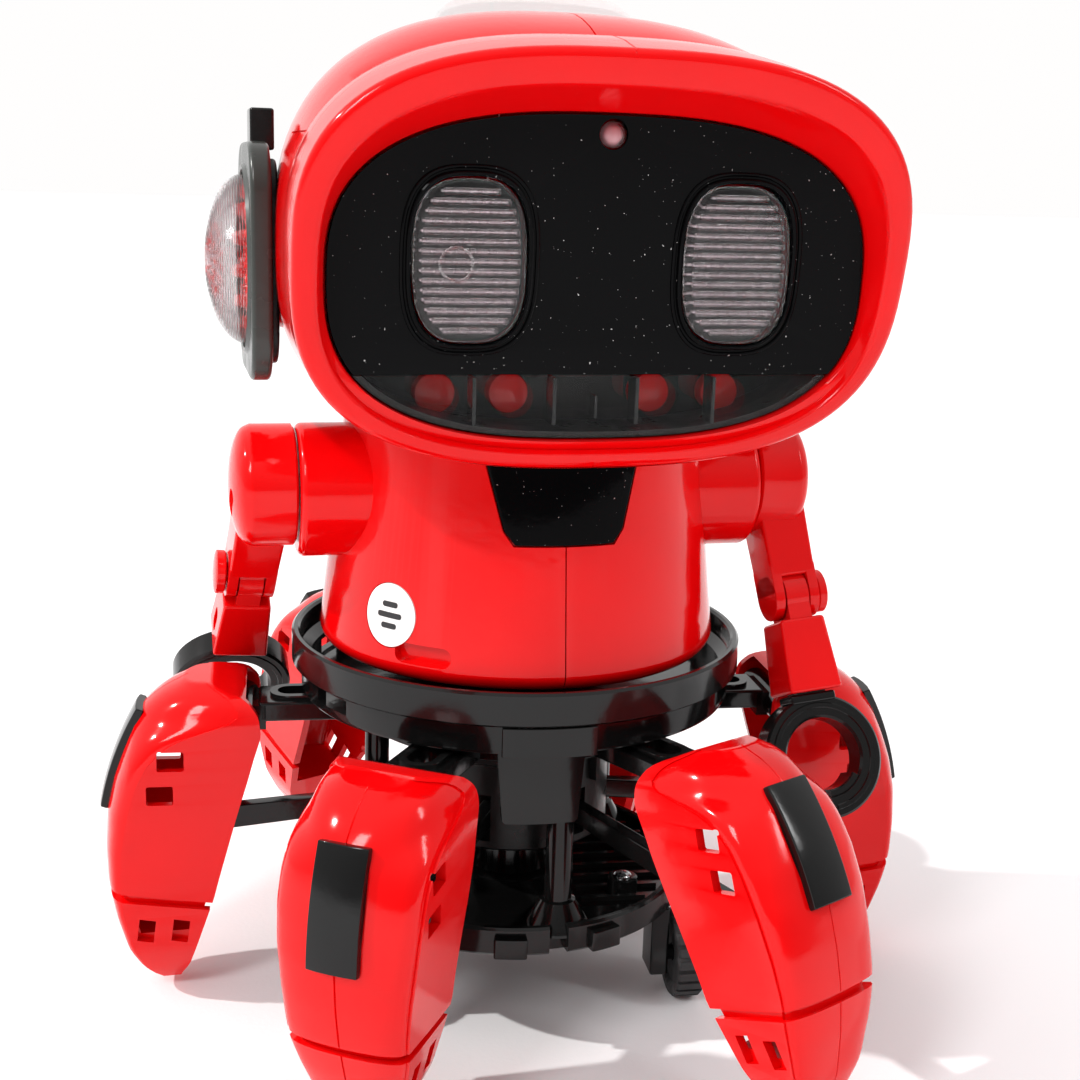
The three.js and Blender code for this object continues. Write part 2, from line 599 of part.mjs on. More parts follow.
function arm({ name, side, lean }) {
  const group = new THREE.Group();
  const sided = (body) => (side > 0 ? body : body.mirror([1, 0, 0]));
  group.position.set(side * SHOULDER.innerX, SHOULDER.y, SHOULDER.z);
  group.rotation.x = -lean * DEG;
  group.add(part(`upper_arm_${name}`, sided(upperArm()), RED));
  group.add(part(`elbow_pin_${name}`, sided(elbowPin()), RED));
  group.add(part(`forearm_${name}`, sided(forearm()), RED));
  group.add(part(`hand_${name}`, sided(hand()), BLACK));
  return group;
}

// ---------------------------------------------------------------- legs
// A leg's own frame: origin on its hinge, +X away from the robot, +Y along the hinge, +Z up.
const legInner = (z) => pieces(z, [[-58.6, 17], [-55, 14.6], [-37.4, 8.2], [-1.4, -3.5], [3, -3.2], [7, -0.5], [10, 7]]);
const legOuter = (z) => pieces(z, [[-58.6, 21], [-56, 24.2], [-50, 28.5], [-38, 30.9], [-32.8, 31.3], [-18.2, 29.8],
  [-7, 26], [2.9, 21], [7, 16.5], [9, 12.5], [10, 9.4]]);
const legHalfWidth = (z) => pieces(z, [[-58.6, 3.6], [-55.5, 6], [-50, 9], [-37.4, 12.1], [-16, 14.3], [-1.4, 14.6],
  [5, 13], [8.5, 9.5], [10, 6.5]]);

/** Straight-line interpolation of [height, value] points. */
function pieces(z, points) {
  const i = Math.max(1, points.findIndex(([height]) => height >= z - 1e-9));
  const [z0, v0] = points[i - 1];
  const [z1, v1] = points[i];
  return v0 + ((v1 - v0) * (z - z0)) / (z1 - z0);
}

/** The leg's outer form, shrunk by `inset` on every side but optionally open towards the robot. */
function legForm(inset, openInner = 0, bottom = -58.6, top = 10) {
  const heights = [-58.6, -55.5, -50, -38, -18.2, -7, 2.9, 8, 10]
    .map((z) => THREE.MathUtils.clamp(z, bottom, top))
    .filter((z, i, all) => i === 0 || z - all[i - 1] > 0.05);
  const crown = 4;
  return loft(heights.map((z) => {
    const w = Math.max(0.6, legHalfWidth(z) - inset);
    const inner = legInner(z) + inset - openInner;
    const outer = Math.max(inner + 0.8, legOuter(z) - inset);
    const bulge = Math.min(3.2, (outer - inner) * 0.3);
    const ring = [new THREE.Vector3(inner, -w, z), new THREE.Vector3(inner, w, z)].reverse();
    for (let k = 0; k <= crown; k += 1) {
      const s = -1 + (2 * k) / crown;
      ring.push(new THREE.Vector3(outer - bulge * s * s, s * w, z));
    }
    return ring;
  }));
}

/** A band across the leg that slopes like the joint line between shell and claw tip. */
function slopedBand(z0, z1) {
  const slope = 11.3 * DEG;
  const band = box(-60, 60, -40, 40, z0, z1);
  const at = new THREE.Matrix4().makeTranslation(8.2, 0, -38.6);
  return moved(band, at.multiply(new THREE.Matrix4().makeRotationY(-slope)));
}

const PAD = { top: [21, 2.9], bottom: [29.8, -18.2], halfWidth: 5 };

/** A bar-shaped prism along the pad, from `front` to `back` mm about the leg's outer line. */
function padPrism(grow, front, back) {
  const [x1, z1] = PAD.top;
  const [x0, z0] = PAD.bottom;
  const length = Math.hypot(x1 - x0, z1 - z0);
  const lean = Math.atan2(x0 - x1, z1 - z0);
  const w = PAD.halfWidth + grow;
  const h = length / 2 + grow;
  const prism = box(back, front, -w, w, -h, h);
  const at = new THREE.Matrix4().makeTranslation((x0 + x1) / 2, 0, (z0 + z1) / 2);
  return moved(prism, at.multiply(new THREE.Matrix4().makeRotationY(-lean)));
}

function legShell() {
  const wall = 1.9;
  const skin = legForm(0);
  const groove = slopedBand(-1.8, 0).subtract(legForm(1.3, 0, -58.6, 10));
  const cavity = legForm(wall, 8, -46, 7);
  const vent = (x, z, halfX, halfZ) => box(x - halfX, x + halfX, -20, 20, z - halfZ, z + halfZ);
  const recess = padPrism(0.35, 6, 0.2);
  return cut(skin, groove, cavity, recess,
    vent(15, -5.4, 2.7, 2.1), vent(17.6, -12.7, 2.7, 2.1), vent(15.6, -44.9, 1.9, 2.4), vent(22.6, -44.2, 1.9, 2.4));
}

const legPad = () => padPrism(0, 1.6, 0.5);

/** Connecting rod from the leg's inner face to the cam box, level in the robot's frame. */
function rod() {
  const x = ROD.r - HINGE.r;
  const shape = new THREE.Shape();
  shape.absarc(0, 0, 2.6, -Math.PI / 2, Math.PI / 2);
  shape.absarc(-ROD.inner, ROD.inner * Math.tan(ROD.slope), 2, Math.PI / 2, 1.5 * Math.PI);
  return cut(plateXZ(shape, -1.6, 1.6, 4), bar([0, -5, 0], [0, 5, 0], 1.1, 1.1, 6));
}

function leg({ name, azimuth, swing }) {
  const turn = new THREE.Group();
  const t = (azimuth + BASE_YAW) * DEG;
  turn.rotation.z = t - Math.PI / 2;
  turn.position.set(HINGE.r * Math.sin(t), -HINGE.r * Math.cos(t), HINGE.z);
  const lean = new THREE.Group();
  lean.rotation.y = -swing * DEG;
  lean.add(part(`leg_shell_${name}`, legShell(), RED));
  lean.add(part(`leg_pad_${name}`, legPad(), BLACK));
  const link = new THREE.Group();
  link.position.set(ROD.r - HINGE.r, 0, ROD.z - HINGE.z);
  link.rotation.y = swing * DEG;
  link.add(part(`leg_rod_${name}`, rod(), BLACK));
  lean.add(link);
  turn.add(lean);
  return turn;
}

// ---------------------------------------------------------------- base
/** Radial copies about the robot's axis at the legs' azimuths. */
const aroundLegs = (body) => LEGS.map(({ azimuth }) =>
  moved(body, new THREE.Matrix4().makeRotationZ((azimuth - 90) * DEG)));

function bowl() {
  const { rimZ, rimR, stepZ, stepR, floorZ, wall } = BOWL;
  const skin = turned([[0, floorZ], [stepR, floorZ], [stepR, stepZ], [rimR, stepZ], [rimR, rimZ],
    [rimR - wall, rimZ], [rimR - wall, stepZ + wall], [stepR - wall, stepZ], [stepR - wall, floorZ + wall],
    [0, floorZ + wall]], 40);
  const pocket = (azimuth, halfAngle, z0, z1) => sector(azimuth, halfAngle, 43, 60, z0, z1);
  const apron = cut(
    plateXZ(outline([[-7.6, 49.6], [7.6, 49.6], [8.9, 66], [8.9, 68], [-8.9, 68], [-8.9, 66]]), -60, -20),
    turned([[0, 40], [36.2, 40], [36.2, 75], [0, 75]], FINE),
  ).intersect(turned([[0, 40], [38, 40], [38, 75], [0, 75]], FINE));
  const panel = sector(0, 11.5, 45, 46.9, floorZ, stepZ - GAP);
  const cuts = [-62, -118, 62, 118].map((a) => pocket(a, 7, floorZ + 2.4, stepZ - 1));
  const notch = sector(125, 20, 40, 60, floorZ + 4, rimZ + 5);
  const axle = bar([0, 0, 60], [0, 0, 75], 14, 14);
  return cut(joined(skin, panel, apron), ...cuts, notch, axle);
}

/** A block between two radii over an angle either side of an azimuth (degrees from the front). */
function sector(azimuth, halfAngle, r0, r1, z0, z1) {
  const shape = new THREE.Shape();
  const middle = (azimuth - 90) * DEG;
  const a0 = middle - halfAngle * DEG;
  const a1 = middle + halfAngle * DEG;
  shape.absarc(0, 0, r1, a0, a1, false);
  shape.absarc(0, 0, r0, a1, a0, true);
  return plateXY(shape, z0, z1, 6);
}

/** Star-shaped frame under the bowl: a hub and six slotted arms with a hinge knuckle each. */
function legFrame() {
  const { topZ, bottomZ, hubR, armWidth } = FRAME;
  const w = armWidth / 2;
  const armShape = cut(box(20, HINGE.r - 3, -w, w, bottomZ, topZ),
    plateXY(roundedRect(46, 0, 5, 2.6, 2.5), bottomZ - 1, topZ + 1, 2));
  const knuckle = bar([HINGE.r, -10.5, HINGE.z], [HINGE.r, 10.5, HINGE.z], 3.1, 3.1, 6);
  const lug = box(HINGE.r - 4.5, HINGE.r, -w, w, HINGE.z - 2.6, HINGE.z + 2.6);
  const hub = bar([0, 0, bottomZ], [0, 0, topZ], hubR, hubR, FINE);
  const spoke = joined(armShape, knuckle, lug);
  return cut(joined(hub, ...aroundLegs(spoke)), bar([0, 0, 50], [0, 0, 75], 8, 8));
}

/** Drum under the frame with a guide window for each rod. */
function camBox() {
  const top = FRAME.bottomZ - GAP;
  const skin = turned([[0, 36], [21, 36], [21, top - 6], [25, top - 4], [25, top], [0, top]], FINE);
  const hollow = bar([0, 0, 38], [0, 0, top - 3], 18.6, 18.6, FINE);
  const windowCut = box(10, 30, -3.4, 3.4, 38, 48.2);
  return cut(skin, hollow, ...aroundLegs(windowCut), bar([0, 0, 30], [0, 0, 40], 4, 4));
}

/** Oval cam on its shaft. */
function camDisc() {
  const shape = new THREE.Shape();
  shape.absellipse(0, 0, 16, 11, 0, 2 * Math.PI, false, 45 * DEG - Math.PI / 2);
  return joined(plateXY(shape, 50, 54, SMALL), bar([0, 0, 37], [0, 0, 57], 2.6, 2.6, SMALL));
}

function basePlate() {
  const { topZ, bottomZ, radius } = PLATE;
  const disc = bar([0, 0, bottomZ], [0, 0, topZ], radius, radius, FINE);
  const tray = turned([[0, topZ - 2.4], [radius - 2, topZ - 2.4], [radius - 2, topZ + 1], [0, topZ + 1]], FINE);
  const post = (azimuth) => {
    const a = azimuth * DEG;
    const at = (z) => [31 * Math.sin(a), -31 * Math.cos(a), z];
    return joined(bar(at(topZ - 4), at(FRAME.bottomZ - GAP), 2.9, 2.6), bar(at(topZ - 4), at(30), 6.4, 3.2));
  };
  const housing = joined(
    box(-18, 18, -12, 14, 9, bottomZ + 1),
    bar([0, 0, topZ - 4], [0, 0, 36 - GAP], 9, 7),
  );
  const bracket = (side) => {
    const face = WHEEL.x - WHEEL.width / 2 - 1;
    const [x0, x1] = side > 0 ? [face - 4, face] : [-face, 4 - face];
    const at = (x) => [side * x, WHEEL.y, WHEEL.radius];
    const stub = bar(at(face - 1), at(WHEEL.x + WHEEL.width / 2 + 0.6), WHEEL.pin, WHEEL.pin, SMALL);
    return joined(box(x0, x1, WHEEL.y - 4, WHEEL.y + 4, WHEEL.radius - 3.4, bottomZ + 1), stub);
  };
  const tabs = [-8, 22].map((a) => sector(a, 5, 34, radius + 1.6, bottomZ, topZ - 1.6));
  const notch = sector(7, 3, radius - 2.5, radius + 4, bottomZ - 1, topZ + 1);
  const casterSocket = bar([0, CASTER.y, bottomZ - 3], [0, CASTER.y, bottomZ + 3.2], CASTER.stem + GAP, CASTER.stem + GAP, SMALL);
  const switchSlot = box(-5, 5, 6.4, 12.6, 8, 13);
  const posts = [10, 130, -110].map(post);
  return cut(joined(cut(disc, tray), ...posts, housing, bracket(-1), bracket(1), ...tabs),
    notch, casterSocket, switchSlot);
}

function wheel(side) {
  const x = side * WHEEL.x;
  const half = WHEEL.width / 2;
  const at = (offset) => [x + offset, WHEEL.y, WHEEL.radius];
  const tyre = bar(at(-half), at(half), WHEEL.radius, WHEEL.radius, FINE);
  const groove = (a) => {
    const r = WHEEL.radius + 0.2;
    const y = WHEEL.y + r * Math.cos(a);
    const z = WHEEL.radius + r * Math.sin(a);
    return bar([x - half - 1, y, z], [x + half + 1, y, z], 0.7, 0.7, 4);
  };
  const grooves = Array.from({ length: TREADS }, (_, i) => groove(((i + 0.5) / TREADS) * 2 * Math.PI));
  const bore = bar(at(-half - 1), at(half + 1), WHEEL.pin + GAP, WHEEL.pin + GAP, SMALL);
  const dish = bar(at(side * (half - 1)), at(side * (half + 1)), 6, 7);
  return cut(tyre, ...grooves, bore, dish);
}

function caster() {
  const { y, radius, width, trail } = CASTER;
  const wheelY = y + trail;
  const gapHalf = width / 2 + 0.4;
  const top = PLATE.bottomZ - 0.6;
  const cheek = (s) => box(Math.min(s * gapHalf, s * (gapHalf + 1.6)), Math.max(s * gapHalf, s * (gapHalf + 1.6)),
    y - 3.5, wheelY + 3, radius - 2.5, top);
  const fork = joined(
    box(-gapHalf - 1.6, gapHalf + 1.6, y - 5, wheelY + 4, top - 2.2, top),
    cheek(-1), cheek(1),
    bar([0, y, top - 1], [0, y, top + 3], CASTER.stem, CASTER.stem, SMALL),
    bar([-gapHalf - 1, wheelY, radius], [gapHalf + 1, wheelY, radius], CASTER.pin, CASTER.pin, SMALL),
  );
  const roller = cut(
    bar([-width / 2, wheelY, radius], [width / 2, wheelY, radius], radius, radius, FINE),
    bar([-width, wheelY, radius], [width, wheelY, radius], CASTER.pin + GAP, CASTER.pin + GAP, SMALL),
  );
  return [part('caster_fork', fork, BLACK), part('caster_wheel', roller, RUBBER)];
}

function base() {
  const group = new THREE.Group();
  group.rotation.z = BASE_YAW * DEG;
  group.add(part('waist_bowl', bowl(), BLACK));
  group.add(part('leg_frame', legFrame(), BLACK));
  group.add(part('cam_box', camBox(), BLACK));
  group.add(part('cam_disc', camDisc(), WHITE));
  group.add(part('base_plate', basePlate(), BLACK));
  group.add(part('drive_wheel_left', wheel(-1), RUBBER));
  group.add(part('drive_wheel_right', wheel(1), RUBBER));
  group.add(...caster());
  const knob = joined(box(-2, 2, 8, 11, 7.2, 11.5), box(-3, 3, 7.4, 11.6, 10, 12.4));
  group.add(part('power_switch', knob, WHITE));
  return group;
}

// ---------------------------------------------------------------- robot
const robot = new THREE.Group();
robot.add(head(), torso(), base());
robot.add(...ARMS.map(arm), ...LEGS.map(leg));

export default robot;
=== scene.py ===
"""Looks of the legged toy robot: smooth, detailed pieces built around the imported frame."""
import json
from math import atan2, copysign, cos, degrees, pi, radians, sin, sqrt, tan

import bmesh
import bpy
from mathutils import Matrix, Vector


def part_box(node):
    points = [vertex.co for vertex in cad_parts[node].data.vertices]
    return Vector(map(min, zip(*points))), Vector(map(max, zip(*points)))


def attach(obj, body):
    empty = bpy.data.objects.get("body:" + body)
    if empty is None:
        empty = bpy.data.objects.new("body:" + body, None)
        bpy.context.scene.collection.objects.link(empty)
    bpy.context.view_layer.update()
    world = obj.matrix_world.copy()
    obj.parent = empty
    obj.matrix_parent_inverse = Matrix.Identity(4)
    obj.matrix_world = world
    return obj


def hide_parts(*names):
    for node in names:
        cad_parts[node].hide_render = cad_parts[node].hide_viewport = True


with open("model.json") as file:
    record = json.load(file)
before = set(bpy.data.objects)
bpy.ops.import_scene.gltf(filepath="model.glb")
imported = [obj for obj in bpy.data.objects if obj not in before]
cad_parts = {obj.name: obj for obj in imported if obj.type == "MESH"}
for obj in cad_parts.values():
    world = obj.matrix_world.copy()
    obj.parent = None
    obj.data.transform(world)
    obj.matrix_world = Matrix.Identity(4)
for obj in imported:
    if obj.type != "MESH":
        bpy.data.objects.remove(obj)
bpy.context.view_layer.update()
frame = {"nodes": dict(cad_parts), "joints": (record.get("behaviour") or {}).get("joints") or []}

MM = 0.001                  # every drawing size below is in millimetres
ROUND = 112                 # points around a large smooth ring
GAP = 0.3                   # seam between pieces that touch
JOINTS = {joint["name"]: joint for joint in frame["joints"]}
ROOT = "robot"
SIDES = (("left", -1), ("right", 1))
SENSOR_MM, LENS_MM = 36, 51.829
QUARTER_X = Matrix.Rotation(pi / 2, 4, "X")
QUARTER_Y = Matrix.Rotation(pi / 2, 4, "Y")


# ---------------------------------------------------------------- places, read from the frame
def box_mm(node):
    low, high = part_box(node)
    return low / MM, high / MM


def middle(node):
    low, high = box_mm(node)
    return (low + high) / 2


def joint_mm(name):
    return Vector(JOINTS[name]["pos_m"]) / MM


def shift(offset):
    return Matrix.Translation(offset)


def tilted(angle):
    """Turn about Y by an angle in degrees."""
    return Matrix.Rotation(radians(angle), 4, "Y")


def turned(angle):
    """Turn about Z by an angle in degrees."""
    return Matrix.Rotation(radians(angle), 4, "Z")


BASE_TURN = Matrix.Rotation(atan2(*JOINTS["power_switch_slide"]["axis"][1::-1]), 4, "Z")
HOOD_LOW, HOOD_HIGH = box_mm("head_hood")
HEAD = Vector((0, HOOD_HIGH.y, (HOOD_LOW.z + HOOD_HIGH.z) / 2))    # middle of the hood's back rim
FACE = {"y": -8.3, "z": -3.45, "half_width": 47.3, "half_height": 27.4, "lean": 0.08}   # from HEAD
EYE = {"half_width": 9.6, "half_height": 13.5, "rim": 1.9, "power": 2.9}
MOUTH_TOP = box_mm("face_panel")[0].z
PEG_Z = 136.4


# ---------------------------------------------------------------- mesh tools
def build(name, points, faces):
    """A new object from points in millimetres, its faces turned outwards."""
    mesh = bpy.data.meshes.new(name)
    mesh.from_pydata([tuple(c * MM for c in p) for p in points], [], faces)
    work = bmesh.new()
    work.from_mesh(mesh)
    bmesh.ops.recalc_face_normals(work, faces=work.faces)
    work.to_mesh(mesh)
    work.free()
    obj = bpy.data.objects.new(name, mesh)
    bpy.context.scene.collection.objects.link(obj)
    return obj


def loft(name, rings, loop=False):
    """Skin over rings of equal length; a loop of rings is a tube bent round on itself."""
    count = len(rings[0])
    faces = []
    for k in range(len(rings) if loop else len(rings) - 1):
        here, there = k * count, (k + 1) % len(rings) * count
        for i in range(count):
            j = (i + 1) % count
            faces.append((here + i, here + j, there + j, there + i))
    if not loop:
        faces.append(tuple(range(count)))
        faces.append(tuple(range((len(rings) - 1) * count, len(rings) * count)))
    return build(name, [p for ring in rings for p in ring], faces)


def circle(radius, z, count):
    turns = [2 * pi * i / count for i in range(count)]
    return [(radius * cos(t), radius * sin(t), z) for t in turns]


def lathe(name, profile, loop=False, count=96):
    """Body of revolution about Z from (radius, height) points."""
    return loft(name, [circle(max(r, 0.02), z, count) for r, z in profile], loop)


def dome(radius, rise, start=0.0, steps=10):
    """Profile points over a round cap, from its rim to its top."""
    angles = [pi / 2 * k / steps for k in range(1, steps + 1)]
    return [(radius * cos(a), start + rise * sin(a)) for a in angles]


def slab(name, outline, start, end, plane="xy"):
    """Plate with an outline in one plane, from start to end along the third axis."""
    order = {"xy": (0, 1, 2), "xz": (0, 2, 1), "yz": (2, 0, 1)}[plane]
    return loft(name, [[tuple((a, b, c)[k] for k in order) for a, b in outline] for c in (start, end)])


def rounded(cx, cy, half_x, half_y, radius, steps=6):
    """Outline of a rectangle with round corners."""
    points = []
    for sx, sy, start in ((1, -1, -90), (1, 1, 0), (-1, 1, 90), (-1, -1, 180)):
        for k in range(steps + 1):
            a = radians(start + 90 * k / steps)
            points.append((cx + sx * (half_x - radius) + radius * cos(a),
                           cy + sy * (half_y - radius) + radius * sin(a)))
    return points


def block(name, low, high):
    (x0, y0, z0), (x1, y1, z1) = low, high
    return slab(name, [(x0, y0), (x1, y0), (x1, y1), (x0, y1)], z0, z1)


def half_space(side, gap):
    """Cutter that keeps what lies on one side of the middle, clear of half a seam."""
    near, far = sorted((side * gap, side * 90))
    return block("keep", (near, -90, 40), (far, 90, 240))


def rod_between(name, start, end, radius, end_radius=None, count=40):
    start, end = Vector(start), Vector(end)
    along = end - start
    body = lathe(name, [(radius, 0), (end_radius or radius, along.length)], count=count)
    turn = along.to_track_quat("Z", "Y").to_matrix().to_4x4()
    return place(body, shift(start) @ turn)


def place(obj, matrix):
    """Move a mesh by a matrix in millimetres; a mirror keeps its faces outward."""
    moved = matrix.copy()
    moved.translation *= MM
    obj.data.transform(moved)
    if moved.determinant() < 0:
        obj.data.flip_normals()
    return obj


def settle(obj):
    """Make the modifiers' result the object's own mesh."""
    bpy.context.view_layer.update()
    graph = bpy.context.evaluated_depsgraph_get()
    mesh = bpy.data.meshes.new_from_object(obj.evaluated_get(graph))
    obj.modifiers.clear()
    obj.data = mesh
    return obj


def carve(obj, *tools, how="DIFFERENCE"):
    for tool in tools:
        cut = obj.modifiers.new("cut", "BOOLEAN")
        cut.operation, cut.object, cut.solver = how, tool, "EXACT"
    settle(obj)
    for tool in tools:
        bpy.data.objects.remove(tool)
    return obj


def soften(obj, width=0.4, segments=3, angle=40):
    """Round the sharp edges over a width in millimetres."""
    bevel = obj.modifiers.new("round", "BEVEL")
    bevel.width, bevel.segments, bevel.angle_limit = width * MM, segments, radians(angle)
    bevel.limit_method = "ANGLE"
    return settle(obj)


def copy_of(obj):
    twin = obj.copy()
    twin.data = obj.data.copy()
    bpy.context.scene.collection.objects.link(twin)
    return twin


def join(name, *objects):
    """One mesh object holding all the given ones."""
    work = bmesh.new()
    for obj in objects:
        work.from_mesh(obj.data)
        bpy.data.objects.remove(obj)
    mesh = bpy.data.meshes.new(name)
    work.to_mesh(mesh)
    work.free()
    joined = bpy.data.objects.new(name, mesh)
    bpy.context.scene.collection.objects.link(joined)
    return joined


def dress(obj, material, crease=34):
    """Material and smooth shading with crisp edges."""
    obj.data.materials.clear()
    obj.data.materials.append(material)
    obj.data.polygons.foreach_set("use_smooth", [True] * len(obj.data.polygons))
    obj.data.set_sharp_from_angle(angle=radians(crease))
    normals = obj.modifiers.new("normals", "WEIGHTED_NORMAL")
    normals.keep_sharp = True
    return obj


def piece(obj, body, material, stands_for=(), crease=34):
    """Finish a piece: dress it, let it ride on its body and stand for its CAD nodes."""
    dress(obj, material, crease)
    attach(obj, body)
    if stands_for:
        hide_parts(*stands_for)
    return obj


# ---------------------------------------------------------------- materials
class Paint:
    """A material's node tree, with a short way to add joined nodes."""

    def __init__(self, name):
        self.material = bpy.data.materials.new(name)
        self.material.use_nodes = True
        self.tree = self.material.node_tree
        self.shader = self.tree.nodes["Principled BSDF"]

    def add(self, kind, inputs=None, **settings):
        node = self.tree.nodes.new(kind)
        for key, value in settings.items():
            setattr(node, key, value)
        self.feed(node, inputs or {})
        return node

    def feed(self, node, inputs):
        for key, value in inputs.items():
            if isinstance(value, bpy.types.NodeSocket):
                self.tree.links.new(value, node.inputs[key])
            else:
                node.inputs[key].default_value = value

    def noise(self, scale, detail=3.0, roughness=0.5):
        coordinates = self.add("ShaderNodeTexCoord")
        return self.add("ShaderNodeTexNoise", {
            "Vector": coordinates.outputs["Object"],
            "Scale": scale, "Detail": detail, "Roughness": roughness,
        }).outputs["Fac"]

    def ramp(self, value, low, high, from_low, from_high):
        return self.add("ShaderNodeMapRange", {
            "Value": value,
            "From Min": from_low, "From Max": from_high, "To Min": low, "To Max": high,
        }).outputs["Result"]

    def mix(self, factor, a, b):
        node = self.add("ShaderNodeMix", data_type="RGBA")
        self.feed(node, {0: factor, 6: a, 7: b})
        return node.outputs[2]


def plastic(name, colour, roughness, grain=0.06, worn=0.1, specks=0.0, specular=0.5):
    """Moulded plastic: faint ripple, uneven gloss, paler worn edges and a little dust."""
    paint = Paint(name)
    deep = tuple(c * 0.9 for c in colour)
    pale = tuple(min(1.0, c + 0.25 * (1 - c)) for c in colour)
    cloud = paint.ramp(paint.noise(28.0), 0.0, 1.0, 0.35, 0.65)
    body = paint.mix(cloud, (*deep, 1), (*colour, 1))
    edge = paint.add("ShaderNodeNewGeometry").outputs["Pointiness"]
    wear = paint.ramp(edge, 0.0, worn, 0.54, 0.62)
    body = paint.mix(wear, body, (*pale, 1))
    if specks:
        dust = paint.ramp(paint.noise(1900.0, 1.0), 0.0, specks, 0.76, 0.8)
        body = paint.mix(dust, body, (0.75, 0.73, 0.72, 1))
    gloss = paint.ramp(paint.noise(140.0, 4.0), roughness * 0.75, roughness * 1.3, 0.3, 0.7)
    ripple = paint.add("ShaderNodeBump", {
        "Height": paint.noise(420.0, 2.0), "Strength": grain, "Distance": 0.0004,
    }).outputs["Normal"]
    paint.feed(paint.shader, {
        "Base Color": body, "Roughness": gloss, "Normal": ripple, "Specular IOR Level": specular,
    })
    return paint.material


def clear(name, tint, alpha, roughness=0.06, ripple_scale=300.0, ripple=0.15):
    """Clear polished plastic with slight flow marks."""
    paint = Paint(name)
    cloud = paint.ramp(paint.noise(60.0), 0.0, 1.0, 0.4, 0.7)
    haze = paint.mix(cloud, (*tint, 1), (*[c * 0.93 for c in tint], 1))
    waves = paint.add("ShaderNodeBump", {
        "Height": paint.noise(ripple_scale, 2.0), "Strength": ripple, "Distance": 0.0003,
    }).outputs["Normal"]
    gloss = paint.ramp(paint.noise(200.0), roughness * 0.6, roughness * 1.4, 0.3, 0.7)
    paint.feed(paint.shader, {
        "Base Color": haze, "Normal": waves, "Roughness": gloss, "Transmission Weight": 1.0,
        "IOR": 1.49, "Alpha": alpha,
    })
    return paint.material


def metal(name, colour, roughness):
    """Plated steel with fine scratches."""
    paint = Paint(name)
    scratch = paint.noise(900.0, 4.0, 0.7)
    gloss = paint.ramp(scratch, roughness * 0.6, roughness * 1.5, 0.3, 0.7)
    tone = paint.mix(scratch, (*colour, 1), (*[c * 0.75 for c in colour], 1))
    bump = paint.add("ShaderNodeBump", {"Height": scratch, "Strength": 0.1, "Distance": 0.0002})
    paint.feed(paint.shader, {
        "Base Color": tone, "Roughness": gloss, "Normal": bump.outputs["Normal"], "Metallic": 1.0,
    })
    return paint.material


def floor_paint():
    """Matte white paper with the faintest mottle."""
    paint = Paint("paper")
    tone = paint.mix(paint.noise(5.0), (0.93, 0.93, 0.94, 1), (0.9, 0.9, 0.915, 1))
    grain = paint.add("ShaderNodeBump", {"Height": paint.noise(800.0), "Strength": 0.05}).outputs["Normal"]
    paint.feed(paint.shader, {
        "Base Color": tone, "Roughness": 0.75, "Normal": grain, "Specular IOR Level": 0.2,
    })
    return paint.material


RED = plastic("red_gloss", (0.78, 0.0012, 0.0022), 0.1, worn=0.04, specular=0.26)
BLACK = plastic("black_gloss", (0.004, 0.004, 0.004), 0.13, worn=0.02, specular=0.3)
PANEL = plastic("black_mirror", (0.0015, 0.0015, 0.0018), 0.05, grain=0.02, worn=0.01,
                specks=0.6, specular=0.05)
MATT_BLACK = plastic("black_satin", (0.006, 0.006, 0.006), 0.32, grain=0.2, worn=0.03, specular=0.2)
GREY = plastic("grey_satin", (0.035, 0.04, 0.036), 0.24, grain=0.1, worn=0.12, specular=0.35)
WHITE = plastic("white_matte", (0.86, 0.85, 0.84), 0.45, grain=0.15, worn=0.0)
INK = plastic("black_ink", (0.012, 0.012, 0.014), 0.4, grain=0.1, worn=0.0)
LENS = clear("clear_lens", (0.98, 0.95, 0.96), 0.5, 0.03, 300.0, 0.05)
EAR_LENS = clear("clear_ear", (0.98, 0.95, 0.96), 0.5, 0.05, 160.0, 0.2)
GLASS = clear("clear_cover", (0.97, 0.96, 0.97), 0.12, 0.02, 90.0, 0.05)
LAMP = clear("pink_lamp", (0.9, 0.35, 0.4), 0.85, 0.12)
FOIL = metal("grey_reflector", (0.72, 0.62, 0.65), 0.25)
PALE = plastic("pale_backing", (0.78, 0.7, 0.72), 0.4, grain=0.1, worn=0.0)
STEEL = metal("plated_steel", (0.72, 0.72, 0.74), 0.22)
RUBBER = plastic("rubber", (0.02, 0.02, 0.021), 0.75, grain=0.5, worn=0.15)


# ---------------------------------------------------------------- head
def oval(y, z, half_width, up, down, lean=0.0, power=2.7, seam=0.0, count=ROUND):
    """Rounded-oval ring about the head's middle line; a seam dents it where it crosses x = 0."""
    quarter = count // 4
    fine = 0.22                 # half the width of the seam's dent
    ring = []
    for corner, sx, sv in ((0, 1, 1), (1, -1, 1), (2, -1, -1), (3, 1, -1)):
        half_height = up if sv > 0 else down
        steps = range(quarter) if corner % 2 == 0 else range(quarter, 0, -1)
        for k in steps:
            t = pi / 2 * (k + 0.5 if corner % 2 == 0 else k - 0.5) / quarter
            x = sx * max(fine * 1.5, half_width * cos(t) ** (2 / power))
            ring.append((x, sv * half_height * sin(t) ** (2 / power)))
        if corner in (0, 2):
            crest = sv * half_height
            ring += [(sx * fine, crest), (0, crest - sv * seam), (-sx * fine, crest)]
    return [(x, y - v * sin(lean), z + v * cos(lean)) for x, v in ring]


def head_oval(y, z, half_width, up, down=None, lean=0.0, **more):
    """Ring placed from the middle of the hood's back rim."""
    return oval(HEAD.y + y, HEAD.z + z, half_width, up, up if down is None else down, lean, **more)


